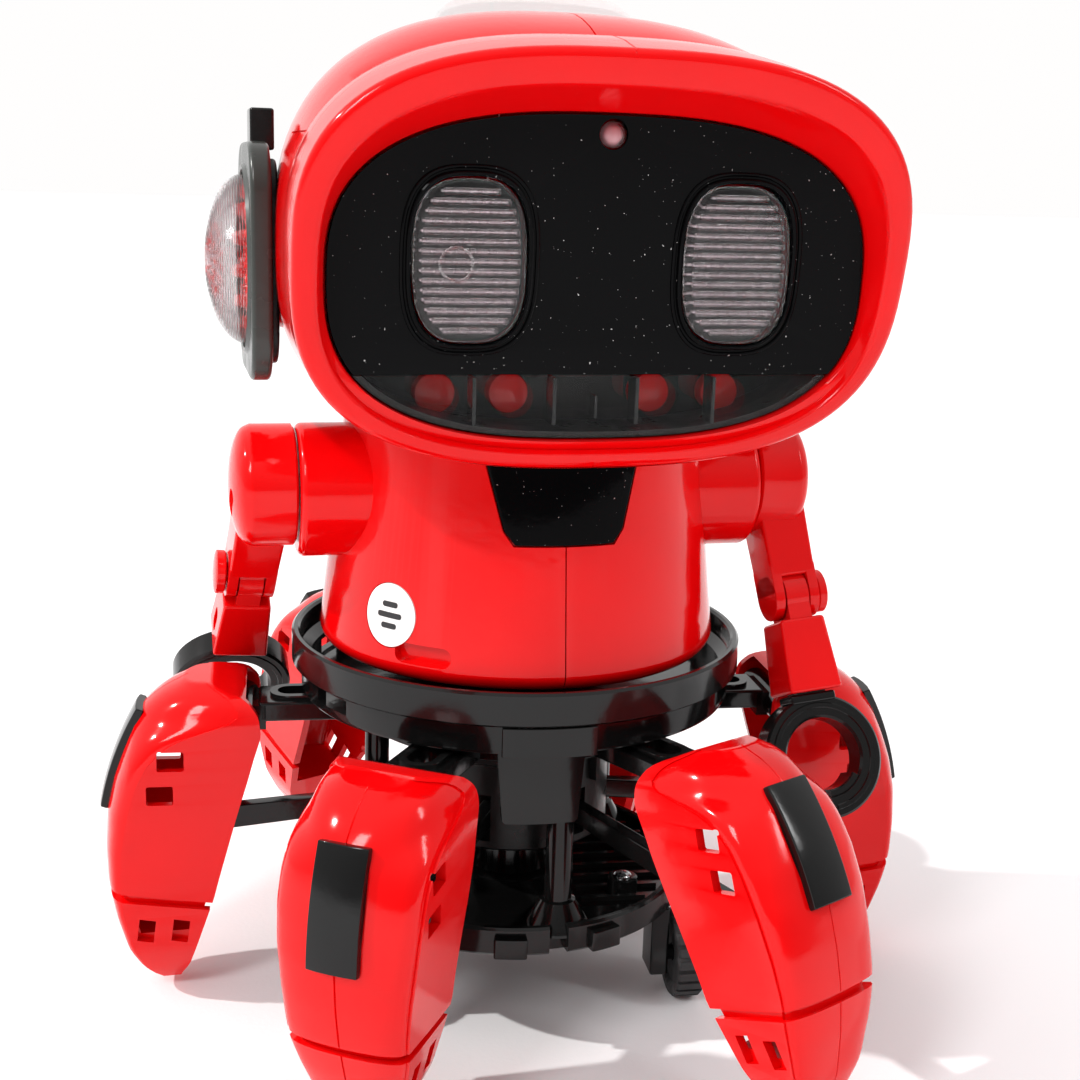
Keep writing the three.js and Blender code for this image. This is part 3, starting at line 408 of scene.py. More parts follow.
def face_oval(margin, back, **more):
    """Ring round the face panel, grown by a margin and moved back."""
    return head_oval(FACE["y"] + back, FACE["z"], FACE["half_width"] + margin,
                     FACE["half_height"] + margin, lean=FACE["lean"], **more)


def face_y(z):
    """How far back the leaning face panel is at a height."""
    return HEAD.y + FACE["y"] - (z - HEAD.z - FACE["z"]) * tan(FACE["lean"])


def on_face(z):
    """Place on the face panel, on the middle line, for a body of revolution that points forwards."""
    return shift((0, face_y(z), z)) @ QUARTER_X


def make_hood():
    """The bezel round the face: rolled lip, flat front band and a bore down to the face."""
    mark = 0.3
    tilt = {"lean": 0.22, "power": 2.8, "seam": mark}
    rings = []
    for y, z, width, up, down, lean in (
        (0, -0.15, 53.2, 37.15, 36.9, 0), (-0.5, -0.15, 53.5, 37.2, 37.0, 0),
        (-3, -0.25, 53.6, 37.1, 36.5, 0.02), (-6, -0.35, 53.6, 36.9, 36.1, 0.05),
        (-9.5, -0.7, 53.5, 36.4, 35.9, 0.13),
    ):
        rings.append(head_oval(y, z, width, up, down, lean, seam=mark))
    for y, width, up in ((-12, 53.4, 35.9), (-12.8, 53.3, 35.8), (-13.45, 52.95, 35.4), (-13.85, 52.3, 34.7),
                         (-14, 51.7, 33.9)):
        rings.append(head_oval(y, -1.15, width, up, **tilt))
    rings.append(head_oval(-13.95, -1.9, 50.4, 32.6, lean=0.22, power=2.8, seam=mark / 2))
    for y, width, up in ((-13.8, 49.6, 31.8), (-13.3, 49.1, 31.3), (-12.4, 48.8, 30.9)):
        rings.append(head_oval(y, -2.65, width, up, lean=0.22, power=2.8))
    rings += [head_oval(-10.8, -3, 48.2, 29.4, lean=0.15), face_oval(0.5, -0.9), face_oval(0.35, 0.2),
              face_oval(0.35, 4), head_oval(0, -0.15, 50.4, 34.6, 34.3)]
    hood = loft("hood", rings, loop=True)
    piece(hood, ROOT, RED, ["head_hood"], crease=50)


SHELL = {"half_width": 53.4, "up": 44, "down": 36.5, "wall": 2.2, "power": 2.65}


def head_rings(inset=0.0, stations=36):
    """Rings of the head's rounded body from its open front to its rear, shrunk by an inset."""
    low, high = box_mm("head_shell_left")
    front = low.y - (0 if inset == 0 else 2)
    depth = high.y - inset - front
    rings = []
    for k in range(stations + 1):
        u = sin(pi / 2 * k / stations) ** 0.85
        shrink = max(0.16, sqrt(max(0.0, 1 - u ** 3.4)))
        rise = 1 - 0.16 * (1 - min(1.0, u * 3.2)) ** 2
        rings.append(oval(front + depth * u, HEAD.z - 0.65, (SHELL["half_width"] - inset) * shrink,
                          (SHELL["up"] * rise - inset) * shrink, (SHELL["down"] - inset) * shrink,
                          power=SHELL["power"]))
    return rings


def ear_slab(margin_y, margin_z, radius, start, end):
    """Rounded slab across the right ear, smaller than the ear frame by the margins."""
    low, high = box_mm("ear_frame_right")
    lens = middle("ear_lens_right")
    return slab("ear_slab", rounded(lens.y, lens.z, (high.y - low.y) / 2 - margin_y,
                                    lens.z - low.z - margin_z, radius, 10), start, end, "yz")


def make_head_shells():
    """The rounded hollow head behind the hood, in two halves with a fine seam between them."""
    whole = loft("head_shell", [*reversed(head_rings(SHELL["wall"])), *head_rings()])
    dome_at = middle("top_dome")
    ear = middle("ear_lens_left")
    outer = box_mm("ear_frame_right")[1].x
    seat_z = box_mm("top_dome")[0].z - GAP
    seat_foot = Vector((0, dome_at.y, seat_z))
    seat = rod_between("seat", seat_foot, seat_foot + Vector((0, 0, 20)), 20.8, count=96)
    neck = rod_between("neck", (0, 0, 110), (0, 0, 140), 13.5, count=96)
    carve(whole, seat, neck)
    collar = make_collar(dome_at, seat_z)
    for name, side in SIDES:
        keep = half_space(side, 0.15)
        half_collar = carve(copy_of(collar), copy_of(keep), how="INTERSECT")
        half = carve(copy_of(whole), keep, how="INTERSECT")
        pocket = place(ear_slab(3.2, 2.7, 7.2, outer - 5.5, 70), Matrix.Scale(side, 4, (1, 0, 0)))
        carve(half, pocket)
        near, far = side * 44, side * (outer - 5.5)
        boss = rod_between("boss", (near, ear.y, ear.z), (far, ear.y, ear.z), 14, 12.5, 64)
        carve(half, side_groove(side))
        both = join(f"head_{name}", half, half_collar, boss)
        piece(both, ROOT, RED, [f"head_shell_{name}"])
    for source in (whole, collar):
        bpy.data.objects.remove(source)


def make_collar(at, top):
    """Round step that carries the crown's dome where the head falls away below it."""
    foot = top - 9
    profile = [(16, foot), (21.3, foot), (21.3, top - 0.5), (20.9, top), (16, top)]
    collar = place(lathe("collar", profile, loop=True), shift((0, at.y, 0)))
    return carve(collar, loft("inner", head_rings(1.0)))


def side_groove(side):
    """Cutter for the fine level line on the side of the head, just above the ear."""
    level = box_mm("ear_frame_right")[1].z - 4.5
    near, far = sorted((side * 30, side * 70))
    groove = block("groove", (near, -49, level - 0.15), (far, -32, level + 0.15))
    return carve(groove, loft("inner", head_rings(0.5)))


def eye_outline(cx, cz, grow, count=72):
    power = EYE["power"]
    points = []
    for i in range(count):
        c, s = cos(2 * pi * i / count), sin(2 * pi * i / count)
        x = (EYE["half_width"] + grow) * copysign(abs(c) ** (2 / power), c)
        z = (EYE["half_height"] + grow) * copysign(abs(s) ** (2 / power), s)
        points.append((cx + x, cz + z))
    return points


def bead(at, grow, proud, radius, steps=10):
    """Thin round bead on the face, round an eye's outline grown by a margin."""
    rings = []
    for k in range(steps):
        a = 2 * pi * k / steps
        flat = eye_outline(at.x, at.z, grow + radius * cos(a))
        rings.append([(x, face_y(z) + proud - radius * sin(a), z) for x, z in flat])
    return loft("rim", rings, loop=True)


def eye_half_width(offset, margin):
    """Half the eye's width at a height above its middle, less a margin."""
    share = 1 - abs(offset / (EYE["half_height"] - margin)) ** EYE["power"]
    return (EYE["half_width"] - margin) * max(0.0, share) ** (1 / EYE["power"])


def make_eye(name, side):
    """Clear lens with level half-round ribs over a grey reflector, set in a black cup."""
    low, high = box_mm(f"eye_lens_{name}")
    cx, cz = (low.x + high.x) / 2, (low.z + high.z) / 2
    pitch = 1.62
    front = face_y(cz)
    body = soften(slab(f"eye_{name}", eye_outline(cx, cz, 0), front - 1.0, front + 1.0, "xz"), 0.7, 4)
    ribs, strips = [], []
    for k in range(-7, 8):
        z = cz + k * pitch
        half = eye_half_width(z - cz, 1.3)
        for parts, y, radius, count in ((ribs, front - 0.95, 0.6, 16), (strips, front + 1.75, 0.27, 10)):
            parts.append(rod_between("rib", (cx - half, y, z), (cx + half, y, z), radius, count=count))
    lens = join(f"eye_{name}", body, *ribs)
    piece(lens, ROOT, LENS, [f"eye_lens_{name}"], crease=50)
    piece(join(f"eye_reflector_{name}", *strips), ROOT, FOIL, crease=60)
    cup = slab(f"eye_cup_{name}", eye_outline(cx, cz, -0.2), front + 2.1, front + 2.6, "xz")
    piece(cup, ROOT, MATT_BLACK)
    if side < 0:
        mark = lathe("eye_mark", [(2.5, 0), (2.75, 0.25), (3.0, 0), (2.75, -0.25)], loop=True, count=48)
        place(mark, shift((cx - 2.6, front - 1.75, cz - 0.4)) @ QUARTER_X)
        piece(mark, ROOT, LENS)


def make_face():
    """Glossy black panel with eye rims and the forehead lamp; the clear mouth strip below it is made in
    make_mouth.
    """
    panel = loft("face_plate", [face_oval(-0.1, back, count=96) for back in (0, 0.25, 2)])
    above = block("above", (-60, -90, MOUTH_TOP), (60, -20, 230))
    carve(panel, above, how="INTERSECT")
    holes, rims = [], []
    for name, _ in SIDES:
        at = middle(f"eye_lens_{name}")
        y = face_y(at.z)
        holes.append(slab("hole", eye_outline(at.x, at.z, GAP), y - 6, y + 6, "xz"))
        for grow, proud, radius in ((0.75, -0.35, 0.45), (EYE["rim"], -0.1, 0.35)):
            rims.append(bead(at, grow, proud, radius))
    lamp = middle("forehead_lamp")
    holes.append(rod_between("hole", (0, lamp.y - 9, lamp.z), (0, lamp.y + 9, lamp.z), 2.5))
    carve(panel, *holes)
    panel = join("face_front", panel, *rims)
    piece(panel, ROOT, PANEL, ["face_panel"])

    bulb = lathe("lamp", [(2.0, -2.6), (2.2, -0.2), (2.2, 0.2), *dome(2.05, 1.15, 0.2)], count=40)
    place(bulb, on_face(lamp.z))
    piece(bulb, ROOT, LAMP, ["forehead_lamp"], crease=60)
    core = lathe("lamp_core", [(1.25, -1.6), (1.25, -0.3), *dome(1.2, 0.9, -0.3)], count=32)
    place(core, on_face(lamp.z))
    piece(core, ROOT, WHITE, crease=60)


def make_mouth():
    """Clear window, dark grille with dividers, and red pegs deeper inside."""
    top = MOUTH_TOP - GAP
    below = block("below", (-60, -90, 100), (60, -20, top))
    window = loft("mouth_cover", [face_oval(-0.1, back, count=96) for back in (0, 0.9)])
    carve(window, copy_of(below), how="INTERSECT")
    piece(window, ROOT, GLASS, ["mouth_window"])
    low, _ = box_mm("mouth_grille")
    wall_y = HEAD.y - 5.6
    walls = []
    for x in (-21.7, -7.5, 7.5, 21.7):
        walls.append(block("wall", (x - 0.35, wall_y, low.z + 2.2), (x + 0.35, HEAD.y - 1, top - 0.4)))
    walls.append(block("wall", (-0.25, wall_y, low.z + 3.4), (0.25, HEAD.y - 2, top - 3.6)))
    grille = soften(join("mouth_walls", *walls), 0.12, 2)
    piece(grille, ROOT, BLACK, ["mouth_grille"])
    pegs = []
    for x in (-26.7, -13.3, 13.3, 26.7):
        peg = lathe("peg", [(3.7, -6), (3.7, 0), (3.5, 0.4), (0.8, 0.9)], count=48)
        pegs.append(place(peg, shift((x, HEAD.y + 5.5, PEG_Z)) @ QUARTER_X))
    shelf = loft("mouth_cup", [face_oval(margin, back, count=96) for margin, back in
                               ((-1.0, 14.8), (-1.0, 1.1), (0.1, 1.1), (0.1, 16))])
    carve(shelf, below, how="INTERSECT")
    piece(shelf, ROOT, MATT_BLACK)
    piece(join("face_backing", *pegs), ROOT, RED, ["face_carrier"])


def make_ear(name, side):
    """Grey ear frame on a black box, with its stub, and the clear ribbed dome over red dots."""
    low, high = box_mm(f"ear_frame_{name}")
    lens_low, lens_high = box_mm(f"ear_lens_{name}")
    cy = (lens_low.y + lens_high.y) / 2
    cz = (lens_low.z + lens_high.z) / 2
    radius = (lens_high.z - lens_low.z) / 2
    outer = max(abs(low.x), abs(high.x))
    inner = outer - 3.8
    half_y, half_z = (high.y - low.y) / 2, cz - low.z
    sided = Matrix.Scale(side, 4, (1, 0, 0))
    plate = slab("plate", rounded(cy, cz, half_y, half_z, 9, 10), inner, outer, "yz")
    soften(plate, 0.9, 4)
    hole = rod_between("hole", (inner + 1, cy, cz), (outer + 3, cy, cz), radius + 0.3, count=96)
    carve(plate, hole)
    section = [(0.3, 0), (0.3, 0.5), (1.0, 0.7), (1.6, 0)]
    rim = lathe("rim", [(radius + r, z) for r, z in section], loop=True)
    place(rim, shift((outer - 0.1, cy, cz)) @ QUARTER_Y)
    stub = block(f"ear_stub_{name}", (outer - 5.4, cy - 4, high.z - 7.5), (outer - 1, cy + 4, high.z))
    piece(place(soften(stub, 0.5), sided), ROOT, BLACK)
    piece(place(join(f"ear_{name}", plate, rim), sided), ROOT, GREY, [f"ear_frame_{name}"])
    box = place(soften(ear_slab(3.5, 3, 7, inner - 1.4, inner + 0.2), 0.5), sided)
    box.name = f"ear_box_{name}"
    piece(box, ROOT, MATT_BLACK)

    height = lens_high.x - outer if side > 0 else -lens_low.x - outer
    profile = [(radius - 0.4, -2.4), (radius, -2.0), (radius, 0)]
    steps = 46
    for k in range(1, steps + 1):
        t = pi / 2 * k / steps
        ridge = 0.22 * cos(k * pi) if k < steps - 4 else 0
        profile.append(((radius - 0.5) * cos(t), (height - 0.2) * sin(t) + ridge))
    lens = lathe(f"ear_dome_{name}", profile, count=96)
    spin = shift((outer, cy, cz)) @ QUARTER_Y
    place(lens, sided @ spin)
    piece(lens, ROOT, EAR_LENS, [f"ear_lens_{name}"], crease=60)

    dots = []
    for ring_radius, count in ((3.6, 8), (6.2, 13), (8.8, 18)):
        for i in range(count):
            a = 2 * pi * i / count
            dot = lathe("dot", [(0.72, 0), (0.72, 1.6), (0.5, 1.9)], count=16)
            at = (ring_radius * cos(a), ring_radius * sin(a), -2.3)
            dots.append(place(dot, spin @ shift(at)))
    grid = place(join(f"ear_dots_{name}", *dots), sided)
    piece(grid, ROOT, RED)
    backing = lathe(f"ear_backing_{name}", [(radius - 0.5, -2.75), (radius - 0.5, -2.45), (0.5, -2.3)], count=64)
    place(backing, sided @ spin)
    piece(backing, ROOT, PALE)


def make_top_dome():
    """Clear dome on the crown, with a dark seat ring and moulded lines inside."""
    low, high = box_mm("top_dome")
    at = middle("top_dome")
    radius = (high.x - low.x) / 2
    seat = shift((0, at.y, low.z))
    cap = dome(radius - 0.4, high.z - low.z - 1, 1, 16)
    shell = lathe("crown_dome", [(radius - 1, 0), (radius, 0.2), (radius, 1), *cap])
    place(shell, seat)
    piece(shell, ROOT, GLASS, ["top_dome"], crease=60)
    inner, outer = radius - 1.8, radius - 0.3
    ring = lathe("crown_seat", [(inner, 0.1), (outer, 0.1), (outer, 0.8), (inner, 0.6)], loop=True)
    place(ring, seat)
    piece(ring, ROOT, MATT_BLACK)
    lines = []
    for turn in range(6):
        a = pi * turn / 6 + 0.3
        tip = Vector((cos(a), sin(a), 0)) * (radius - 3)
        start, end = tip * 0.1 + Vector((0, 0, 1.5)), tip + Vector((0, 0, 0.5))
        lines.append(rod_between("line", start, end, 0.2, count=8))
    spokes = place(join("crown_spokes", *lines), seat)
    piece(spokes, ROOT, GREY)


# ---------------------------------------------------------------- torso
TORSO = {"foot": 78, "foot_radius": 42, "shoulder": 119.5, "shoulder_radius": 37.6, "crown": 129, "edge": 3.4}
SLOT_AZIMUTH = -39


def torso_radius(z, offset=0.0):
    share = (z - TORSO["foot"]) / (TORSO["shoulder"] - TORSO["foot"])
    return TORSO["foot_radius"] + (TORSO["shoulder_radius"] - TORSO["foot_radius"]) * share + offset


def cone(offset, low, high):
    return lathe("cone", [(torso_radius(low, offset), low), (torso_radius(high, offset), high)], count=160)


def window_outline(grow):
    right = [(9.6 + grow, 106.4 - grow), (11.6 + grow, 109), (14.8 + grow, 122)]
    return right + [(-x, z) for x, z in reversed(right)]


def sticker_prism(grow, node="torso_sticker"):
    at = middle(node)
    low, high = box_mm(node)
    out = Vector((at.x, at.y, 0)).normalized()
    radius = (high.z - low.z) / 2 + grow
    foot = Vector((0, 0, at.z))
    return rod_between("prism", foot + out * 30, foot + out * 60, radius, count=64)


def door_outline(grow):
    low, high = box_mm("battery_cover")
    return rounded(0, (low.z + high.z) / 2, high.x + grow, (high.z - low.z) / 2 + grow, 3)


def make_torso():
    """Red cone in two halves with the chest window, sticker, low slot and battery door let in."""
    edge, foot, crown = TORSO["edge"], TORSO["foot"], TORSO["crown"]
    profile = [(20, foot)]
    for k in range(9):
        t = pi / 2 * k / 8
        profile.append((TORSO["foot_radius"] - edge + edge * sin(t), foot + edge - edge * cos(t)))
    profile += [(torso_radius(crown), crown), (10, crown)]
    whole = carve(lathe("torso", profile, count=160), loft("under_head", head_rings(-0.4)))
    window = carve(slab("window_pocket", window_outline(GAP), -60, -20, "xz"), cone(-1.1, 100, 126))
    label = carve(sticker_prism(0.25), cone(-0.35, 80, 104))
    back = carve(slab("door_pocket", door_outline(GAP), 10, 60, "xz"), cone(-2.2, 70, 124))
    slot = slab("slot", rounded(0, 83.8, 6.2, 2, 1.9), -60, -39.4, "xz")
    place(slot, turned(SLOT_AZIMUTH))
    carve(whole, window, label, back, slot)
    shoulder = joint_mm("shoulder_right")
    for name, side in SIDES:
        half = carve(copy_of(whole), half_space(side, 0.13), how="INTERSECT")
        reach = side * (shoulder.x - GAP)
        low_z = shoulder.z - 1.1
        start, end = (side * 30, shoulder.y, low_z), (reach, shoulder.y, low_z)
        collar = rod_between("collar", start, end, 13.5, count=96)
        soften(collar, 1.4, 5)
        piece(join(f"torso_{name}", half, collar), ROOT, RED, [f"torso_shell_{name}"])
    bpy.data.objects.remove(whole)


def make_torso_inlays():
    """Chest window, sticker and battery door, each following the cone."""
    pane = slab("chest_pane", window_outline(0), -60, -20, "xz")
    carve(pane, cone(0.2, 90, 121.5), how="INTERSECT")
    carve(pane, cone(-0.8, 89, 124))
    soften(pane, 0.25, 2)
    piece(pane, ROOT, PANEL, ["chest_window"])
    disc = carve(sticker_prism(0), cone(0.25, 80, 104), how="INTERSECT")
    carve(disc, cone(-0.05, 79, 105))
    disc.name = "sticker"
    piece(disc, ROOT, WHITE, ["torso_sticker"])
    lid = slab("battery_door", door_outline(0), 10, 60, "xz")
    carve(lid, cone(0.2, 78, 122), how="INTERSECT")
    carve(lid, cone(-2.1, 77, 123))
    grips = []
    for k in range(3):
        grip_z = middle("battery_cover").z + 8 + 1.8 * k
        grips.append(slab("grip", rounded(0, grip_z, 7, 0.45, 0.4), 37.6, 60, "xz"))
    carve(lid, *grips)
    piece(lid, "battery_door", RED, ["battery_cover"])


def make_sticker_mark():
    """Generic mark on the sticker: three short bars."""
    at = middle("torso_sticker")
    out = Vector((at.x, at.y, 0)).normalized()
    turn = Matrix.Rotation(atan2(out.y, out.x) + pi / 2, 4, "Z")
    bars = []
    for k, half in ((-1, 1.9), (0, 3.0), (1, 1.9)):
        z = at.z + 2.1 * k
        bars.append(slab("bar", rounded(0, z, half, 0.55, 0.5), -60, -20, "xz"))
    mark = join("sticker_mark", *bars)
    place(mark, turn)
    carve(mark, cone(0.32, 80, 104), how="INTERSECT")
    carve(mark, cone(0.1, 79, 105))
    piece(mark, ROOT, INK)


# ---------------------------------------------------------------- arms
def arm_frame(name, side):
    """Matrix from an arm's own drawing (hanging straight, right side) to its place, and its lean."""
    shoulder, elbow = joint_mm(f"shoulder_{name}"), joint_mm(f"elbow_{name}")
    drop = elbow - shoulder
    lean = atan2(-drop.y, -drop.z)
    return shift(shoulder) @ Matrix.Scale(side, 4, (1, 0, 0)) @ Matrix.Rotation(-lean, 4, "X")


SPLAY = Matrix.Rotation(-radians(5.4), 4, "Y")
ELBOW_Z, HAND_Z, LIMB_X = -27, -62, 5.5


def tapered(name, stations, edge=0.7):
    """Bar with a rectangular section given as (z, x0, x1, half_y) stations."""
    rings = [[(x0, -h, z), (x1, -h, z), (x1, h, z), (x0, h, z)] for z, x0, x1, h in stations]
    return soften(loft(name, rings), edge)


def make_upper_arm(name, place_arm):
    profile = [(6, 0), (11.6, 0), (12.3, 0.5), (12.3, 8.6), (12.0, 9.3), *dome(11.9, 3.7, 9.3, 14)]
    drum = lathe("drum", profile, count=112)
    place(drum, QUARTER_Y)
    slots = []
    for y in (-4.6, 4.6):
        hole = slab("slot", rounded(y, 0.5, 1.6, 3.6, 1.5), 11.0, 18, "yz")
        slots.append(place(hole, Matrix.Rotation(radians(-2 * y), 4, "X")))
    carve(drum, *slots)
    limb = tapered("limb", [(0, 0.2, 11, 6.6), (-8, 0.4, 10.8, 5.6), (ELBOW_Z + 3.6, 0.6, 10.6, 5.2)])
    cheeks = []
    for x0, x1 in ((0.6, 2.8), (8.4, 10.6)):
        cheeks.append(rod_between("cheek", (x0, 0, ELBOW_Z), (x1, 0, ELBOW_Z), 5.2, count=56))
        cheeks.append(block("cheek", (x0, -5.2, ELBOW_Z), (x1, 5.2, ELBOW_Z + 6)))
    fork = soften(join("fork", *cheeks), 0.25, 2)
    limb = place(join("limb", limb, fork), SPLAY)
    arm = place(join(f"upper_{name}", drum, limb), place_arm)
    piece(arm, f"arm_{name}", RED, [f"upper_arm_{name}"])
    head = lathe("pin_head", [(4.2, 0), (4.6, 0.35), (4.6, 1.9), *dome(4.4, 0.5, 1.9, 5)], count=48)
    place(head, SPLAY @ shift((10.8, 0, ELBOW_Z)) @ QUARTER_Y)
    shaft = place(rod_between("shaft", (0.8, 0, ELBOW_Z), (11, 0, ELBOW_Z), 2), SPLAY)
    pin = place(join(f"pin_{name}", head, shaft), place_arm)
    piece(pin, f"arm_{name}", RED, [f"elbow_pin_{name}"])


def make_forearm(name, place_arm):
    top, bottom = ELBOW_Z - 5.6, -48.2
    body = tapered("body", [(bottom, -0.4, 11.4, 6), (top, 0.6, 10.6, 5.2)])
    slot = slab("slot", rounded(0, -42.5, 1.7, 3, 1.6), 10.4, 14, "yz")
    socket = block("socket", (2, -3, bottom - 1), (9, 3, bottom + 4))
    carve(body, slot, socket)
    neck = block("neck", (3.1, -4.6, top - 3), (8.1, 4.6, ELBOW_Z))
    knuckle = rod_between("knuckle", (3.1, 0, ELBOW_Z), (8.1, 0, ELBOW_Z), 5.2, count=56)
    forearm = place(place(join(f"fore_{name}", body, neck, knuckle), SPLAY), place_arm)
    piece(forearm, f"forearm_{name}", RED, [f"forearm_{name}"])


def arc_bar(name, centre, inner, outer, half, start, end, steps=64, edge=0.5):
    """Bar bent along part of a circle in the XZ plane, with its corners taken off."""
    section = [(inner, -half + edge), (inner + edge, -half), (outer - edge, -half), (outer, -half + edge),
               (outer, half - edge), (outer - edge, half), (inner + edge, half), (inner, half - edge)]
    rings = []
    for k in range(steps + 1):
        a = start + (end - start) * k / steps
        rings.append([(centre[0] + r * cos(a), y, centre[1] + r * sin(a)) for r, y in section])
    return loft(name, rings)


def make_hand(name, place_arm):
    """Black C-shaped ring with a thicker step inside one end, on a square neck."""
    middle_angle, half_angle = radians(-118), radians(27)
    start = middle_angle + half_angle
    end = middle_angle - half_angle + 2 * pi
    centre = (LIMB_X, HAND_Z)
    ring = arc_bar("ring", centre, 8.2, 13, 3.2, start, end)
    lip = arc_bar("lip", centre, 10.2, 11.4, 3.45, start + 0.1, end - 0.1, edge=0.2)
    step = arc_bar("step", centre, 6.9, 8.6, 3.2, start, start + radians(55), 16, 0.3)
    neck = soften(block("neck", (LIMB_X - 5, -3.6, HAND_Z + 11.5), (LIMB_X + 5, 3.6, -48.5)), 0.5)
    peg = block("peg", (LIMB_X - 3.2, -2.7, -50), (LIMB_X + 3.2, 2.7, -44.6))
    hand = place(place(join(f"ring_hand_{name}", ring, lip, step, neck, peg), SPLAY), place_arm)
    piece(hand, f"forearm_{name}", BLACK, [f"hand_{name}"])


# ---------------------------------------------------------------- legs
# A leg is drawn from its hinge: +X away from the robot, +Y along the hinge, +Z up.
# height, inner face, outer edge of the flat flank, crown, half width
LEG_STATIONS = [
    (-58.6, 17.0, 20.0, 21.0, 3.6), (-57.4, 16.2, 22.0, 23.2, 4.9), (-55.0, 14.6, 23.6, 25.2, 6.4),
    (-50.0, 12.8, 25.4, 27.6, 9.0), (-42.0, 9.9, 26.6, 29.4, 11.0), (-37.4, 8.2, 27.1, 29.9, 12.0),
    (-33.0, 6.9, 27.2, 30.4, 12.3), (-26.0, 4.7, 26.4, 30.3, 13.0), (-18.0, 2.2, 24.7, 29.4, 13.9),
    (-11.0, -0.2, 22.3, 27.5, 14.4), (-6.0, -1.8, 19.6, 25.5, 14.5), (-3.0, -2.9, 16.6, 24.2, 14.6),
    (-1.2, -3.5, 13.6, 23.4, 14.6), (0.2, -3.4, 9.5, 22.6, 14.6), (1.2, -3.3, 4.0, 22.0, 14.5),
    (2.8, -3.2, 0.5, 21.0, 14.1), (4.7, -1.9, 1.4, 18.8, 13.3), (6.3, -0.5, 2.6, 16.6, 12.0),
    (7.5, 2.6, 4.8, 14.2, 10.2), (8.3, 5.6, 6.8, 12.2, 8.0), (8.7, 7.4, 8.0, 10.6, 5.6),
]
GROOVE_AT, GROOVE_SLOPE = Vector((8.2, 0, -38.6)), radians(11.3)


def at_height(z):
    """The leg's inner face, flank edge, crown and half width at a height, joined by straight lines."""
    for below, above in zip(LEG_STATIONS, LEG_STATIONS[1:]):
        if z <= above[0]:
            share = max(0.0, (z - below[0]) / (above[0] - below[0]))
            return [a + (b - a) * share for a, b in zip(below[1:], above[1:])]
    return list(LEG_STATIONS[-1][1:])


def smooth_station(z, reach=1.6):
    rows = [at_height(z + k * reach / 2) for k in (-1, 0, 1)]
    return [sum(column) / 3 for column in zip(*rows)]


def leg_ring(z, inset=0.0, open_inner=0.0, seam=0.0, crown=24, ledge=0.5, boxy=0.86):
    inner, flank, outer, half = smooth_station(z)
    inner += inset - open_inner
    flank, outer, half = flank - inset, outer - inset, max(0.4, half - inset)
    flank = max(inner + 0.3, flank)
    outer = max(flank + 0.3, outer)
    ring = [(inner, half, z), (inner, -half, z), (flank, -half, z)]
    angles = [radians(-90 + 180 * k / crown) for k in range(crown + 1)]
    width = max(0.3, half - ledge)
    for a in angles:
        s = copysign(abs(sin(a)) ** boxy, a)
        c = abs(cos(a)) ** boxy
        if abs(a) < 1e-6:
            edge = min(0.2, width * 0.3)
            ring += [(outer, -edge, z), (outer - seam, 0, z), (outer, edge, z)]
        else:
            ring.append((flank + (outer - flank) * c, width * s, z))
    ring.append((flank, half, z))
    return ring


def leg_body(name, inset=0.0, open_inner=0.0, low=-58.6, high=8.7, seam=0.0, count=56):
    steps = [low + (high - low) * (1 - (1 - k / count) ** 1.25) for k in range(count + 1)]
    return loft(name, [leg_ring(z, inset, open_inner, seam) for z in steps])


def groove_band(low, high, grow=0.0):
    band = block("band", (-30, -30 - grow, low), (60, 30 + grow, high))
    return place(band, shift(GROOVE_AT) @ Matrix.Rotation(-GROOVE_SLOPE, 4, "Y"))


def pad_prism(grow, front, back):
    """Curved pad block along the crown, between two depths from its chord."""
    top, bottom = Vector((21, 0, 2.9)), Vector((29.8, 0, -18.2))
    half = (top - bottom).length / 2 + grow
    lean = atan2(bottom.x - top.x, top.z - bottom.z)
    width = 5 + grow
    rings = []
    for k in range(13):
        z = -half + 2 * half * k / 12
        bow = 1.0 * (1 - (z / half) ** 2)
        face = front + bow
        rings.append([(back, -width, z), (face - 0.35, -width, z), (face, -width / 2, z),
                      (face + 0.1, 0, z),
                      (face, width / 2, z), (face - 0.35, width, z), (back, width, z)])
    return place(loft("pad", rings), shift((top + bottom) / 2) @ tilted(-degrees(lean)))


def make_leg_mesh():
    """The red leg shell, hollow towards the robot, with groove, vents, tip slots and pad recess."""
    shell = leg_body("leg_shell_master", seam=0.35)
    groove = carve(groove_band(-1.9, 0), leg_body("core", inset=1.3))
    cavity = leg_body("cavity", inset=1.9, open_inner=8, low=-46, high=5.8, count=24)
    tools = [groove, cavity, pad_prism(0.35, 9, 0.2)]
    for x, z in ((15, -5.4), (17.6, -12.7)):
        vent = soften(block("vent", (-2.7, -30, -2.1), (2.7, 30, 2.1)), 0.4, 2)
        tools.append(place(vent, shift((x, 0, z)) @ tilted(-3)))
    for x, z in ((15.6, -44.9), (22.6, -44.2)):
        for side in (-1, 1):
            tip = slab("tip", [(-1.9, -3), (1.5, -3), (1.9, 2.6), (-1.5, 2.6)], side * 7.9, side * 16, "xz")
            tools.append(place(tip, shift((x, 0, z)) @ tilted(-14)))
    return carve(shell, *tools)


def leg_place(name):
    """Matrices of a leg and of its rod, from the joints' places."""
    hinge = joint_mm(f"leg_{name}_swing")
    pivot = joint_mm(f"leg_rod_{name}_tilt")
    turn = atan2(hinge.y, hinge.x)
    reach = (pivot - hinge).to_2d().length
    drawn_drop, drawn_reach = 24, 7         # from the hinge to the rod's pivot, as the leg is drawn
    swing = atan2(drawn_drop, drawn_reach) - atan2(hinge.z - pivot.z, reach)
    upright = shift(hinge) @ Matrix.Rotation(turn, 4, "Z")
    rod = shift(pivot) @ Matrix.Rotation(turn, 4, "Z")
    return upright @ Matrix.Rotation(-swing, 4, "Y"), rod


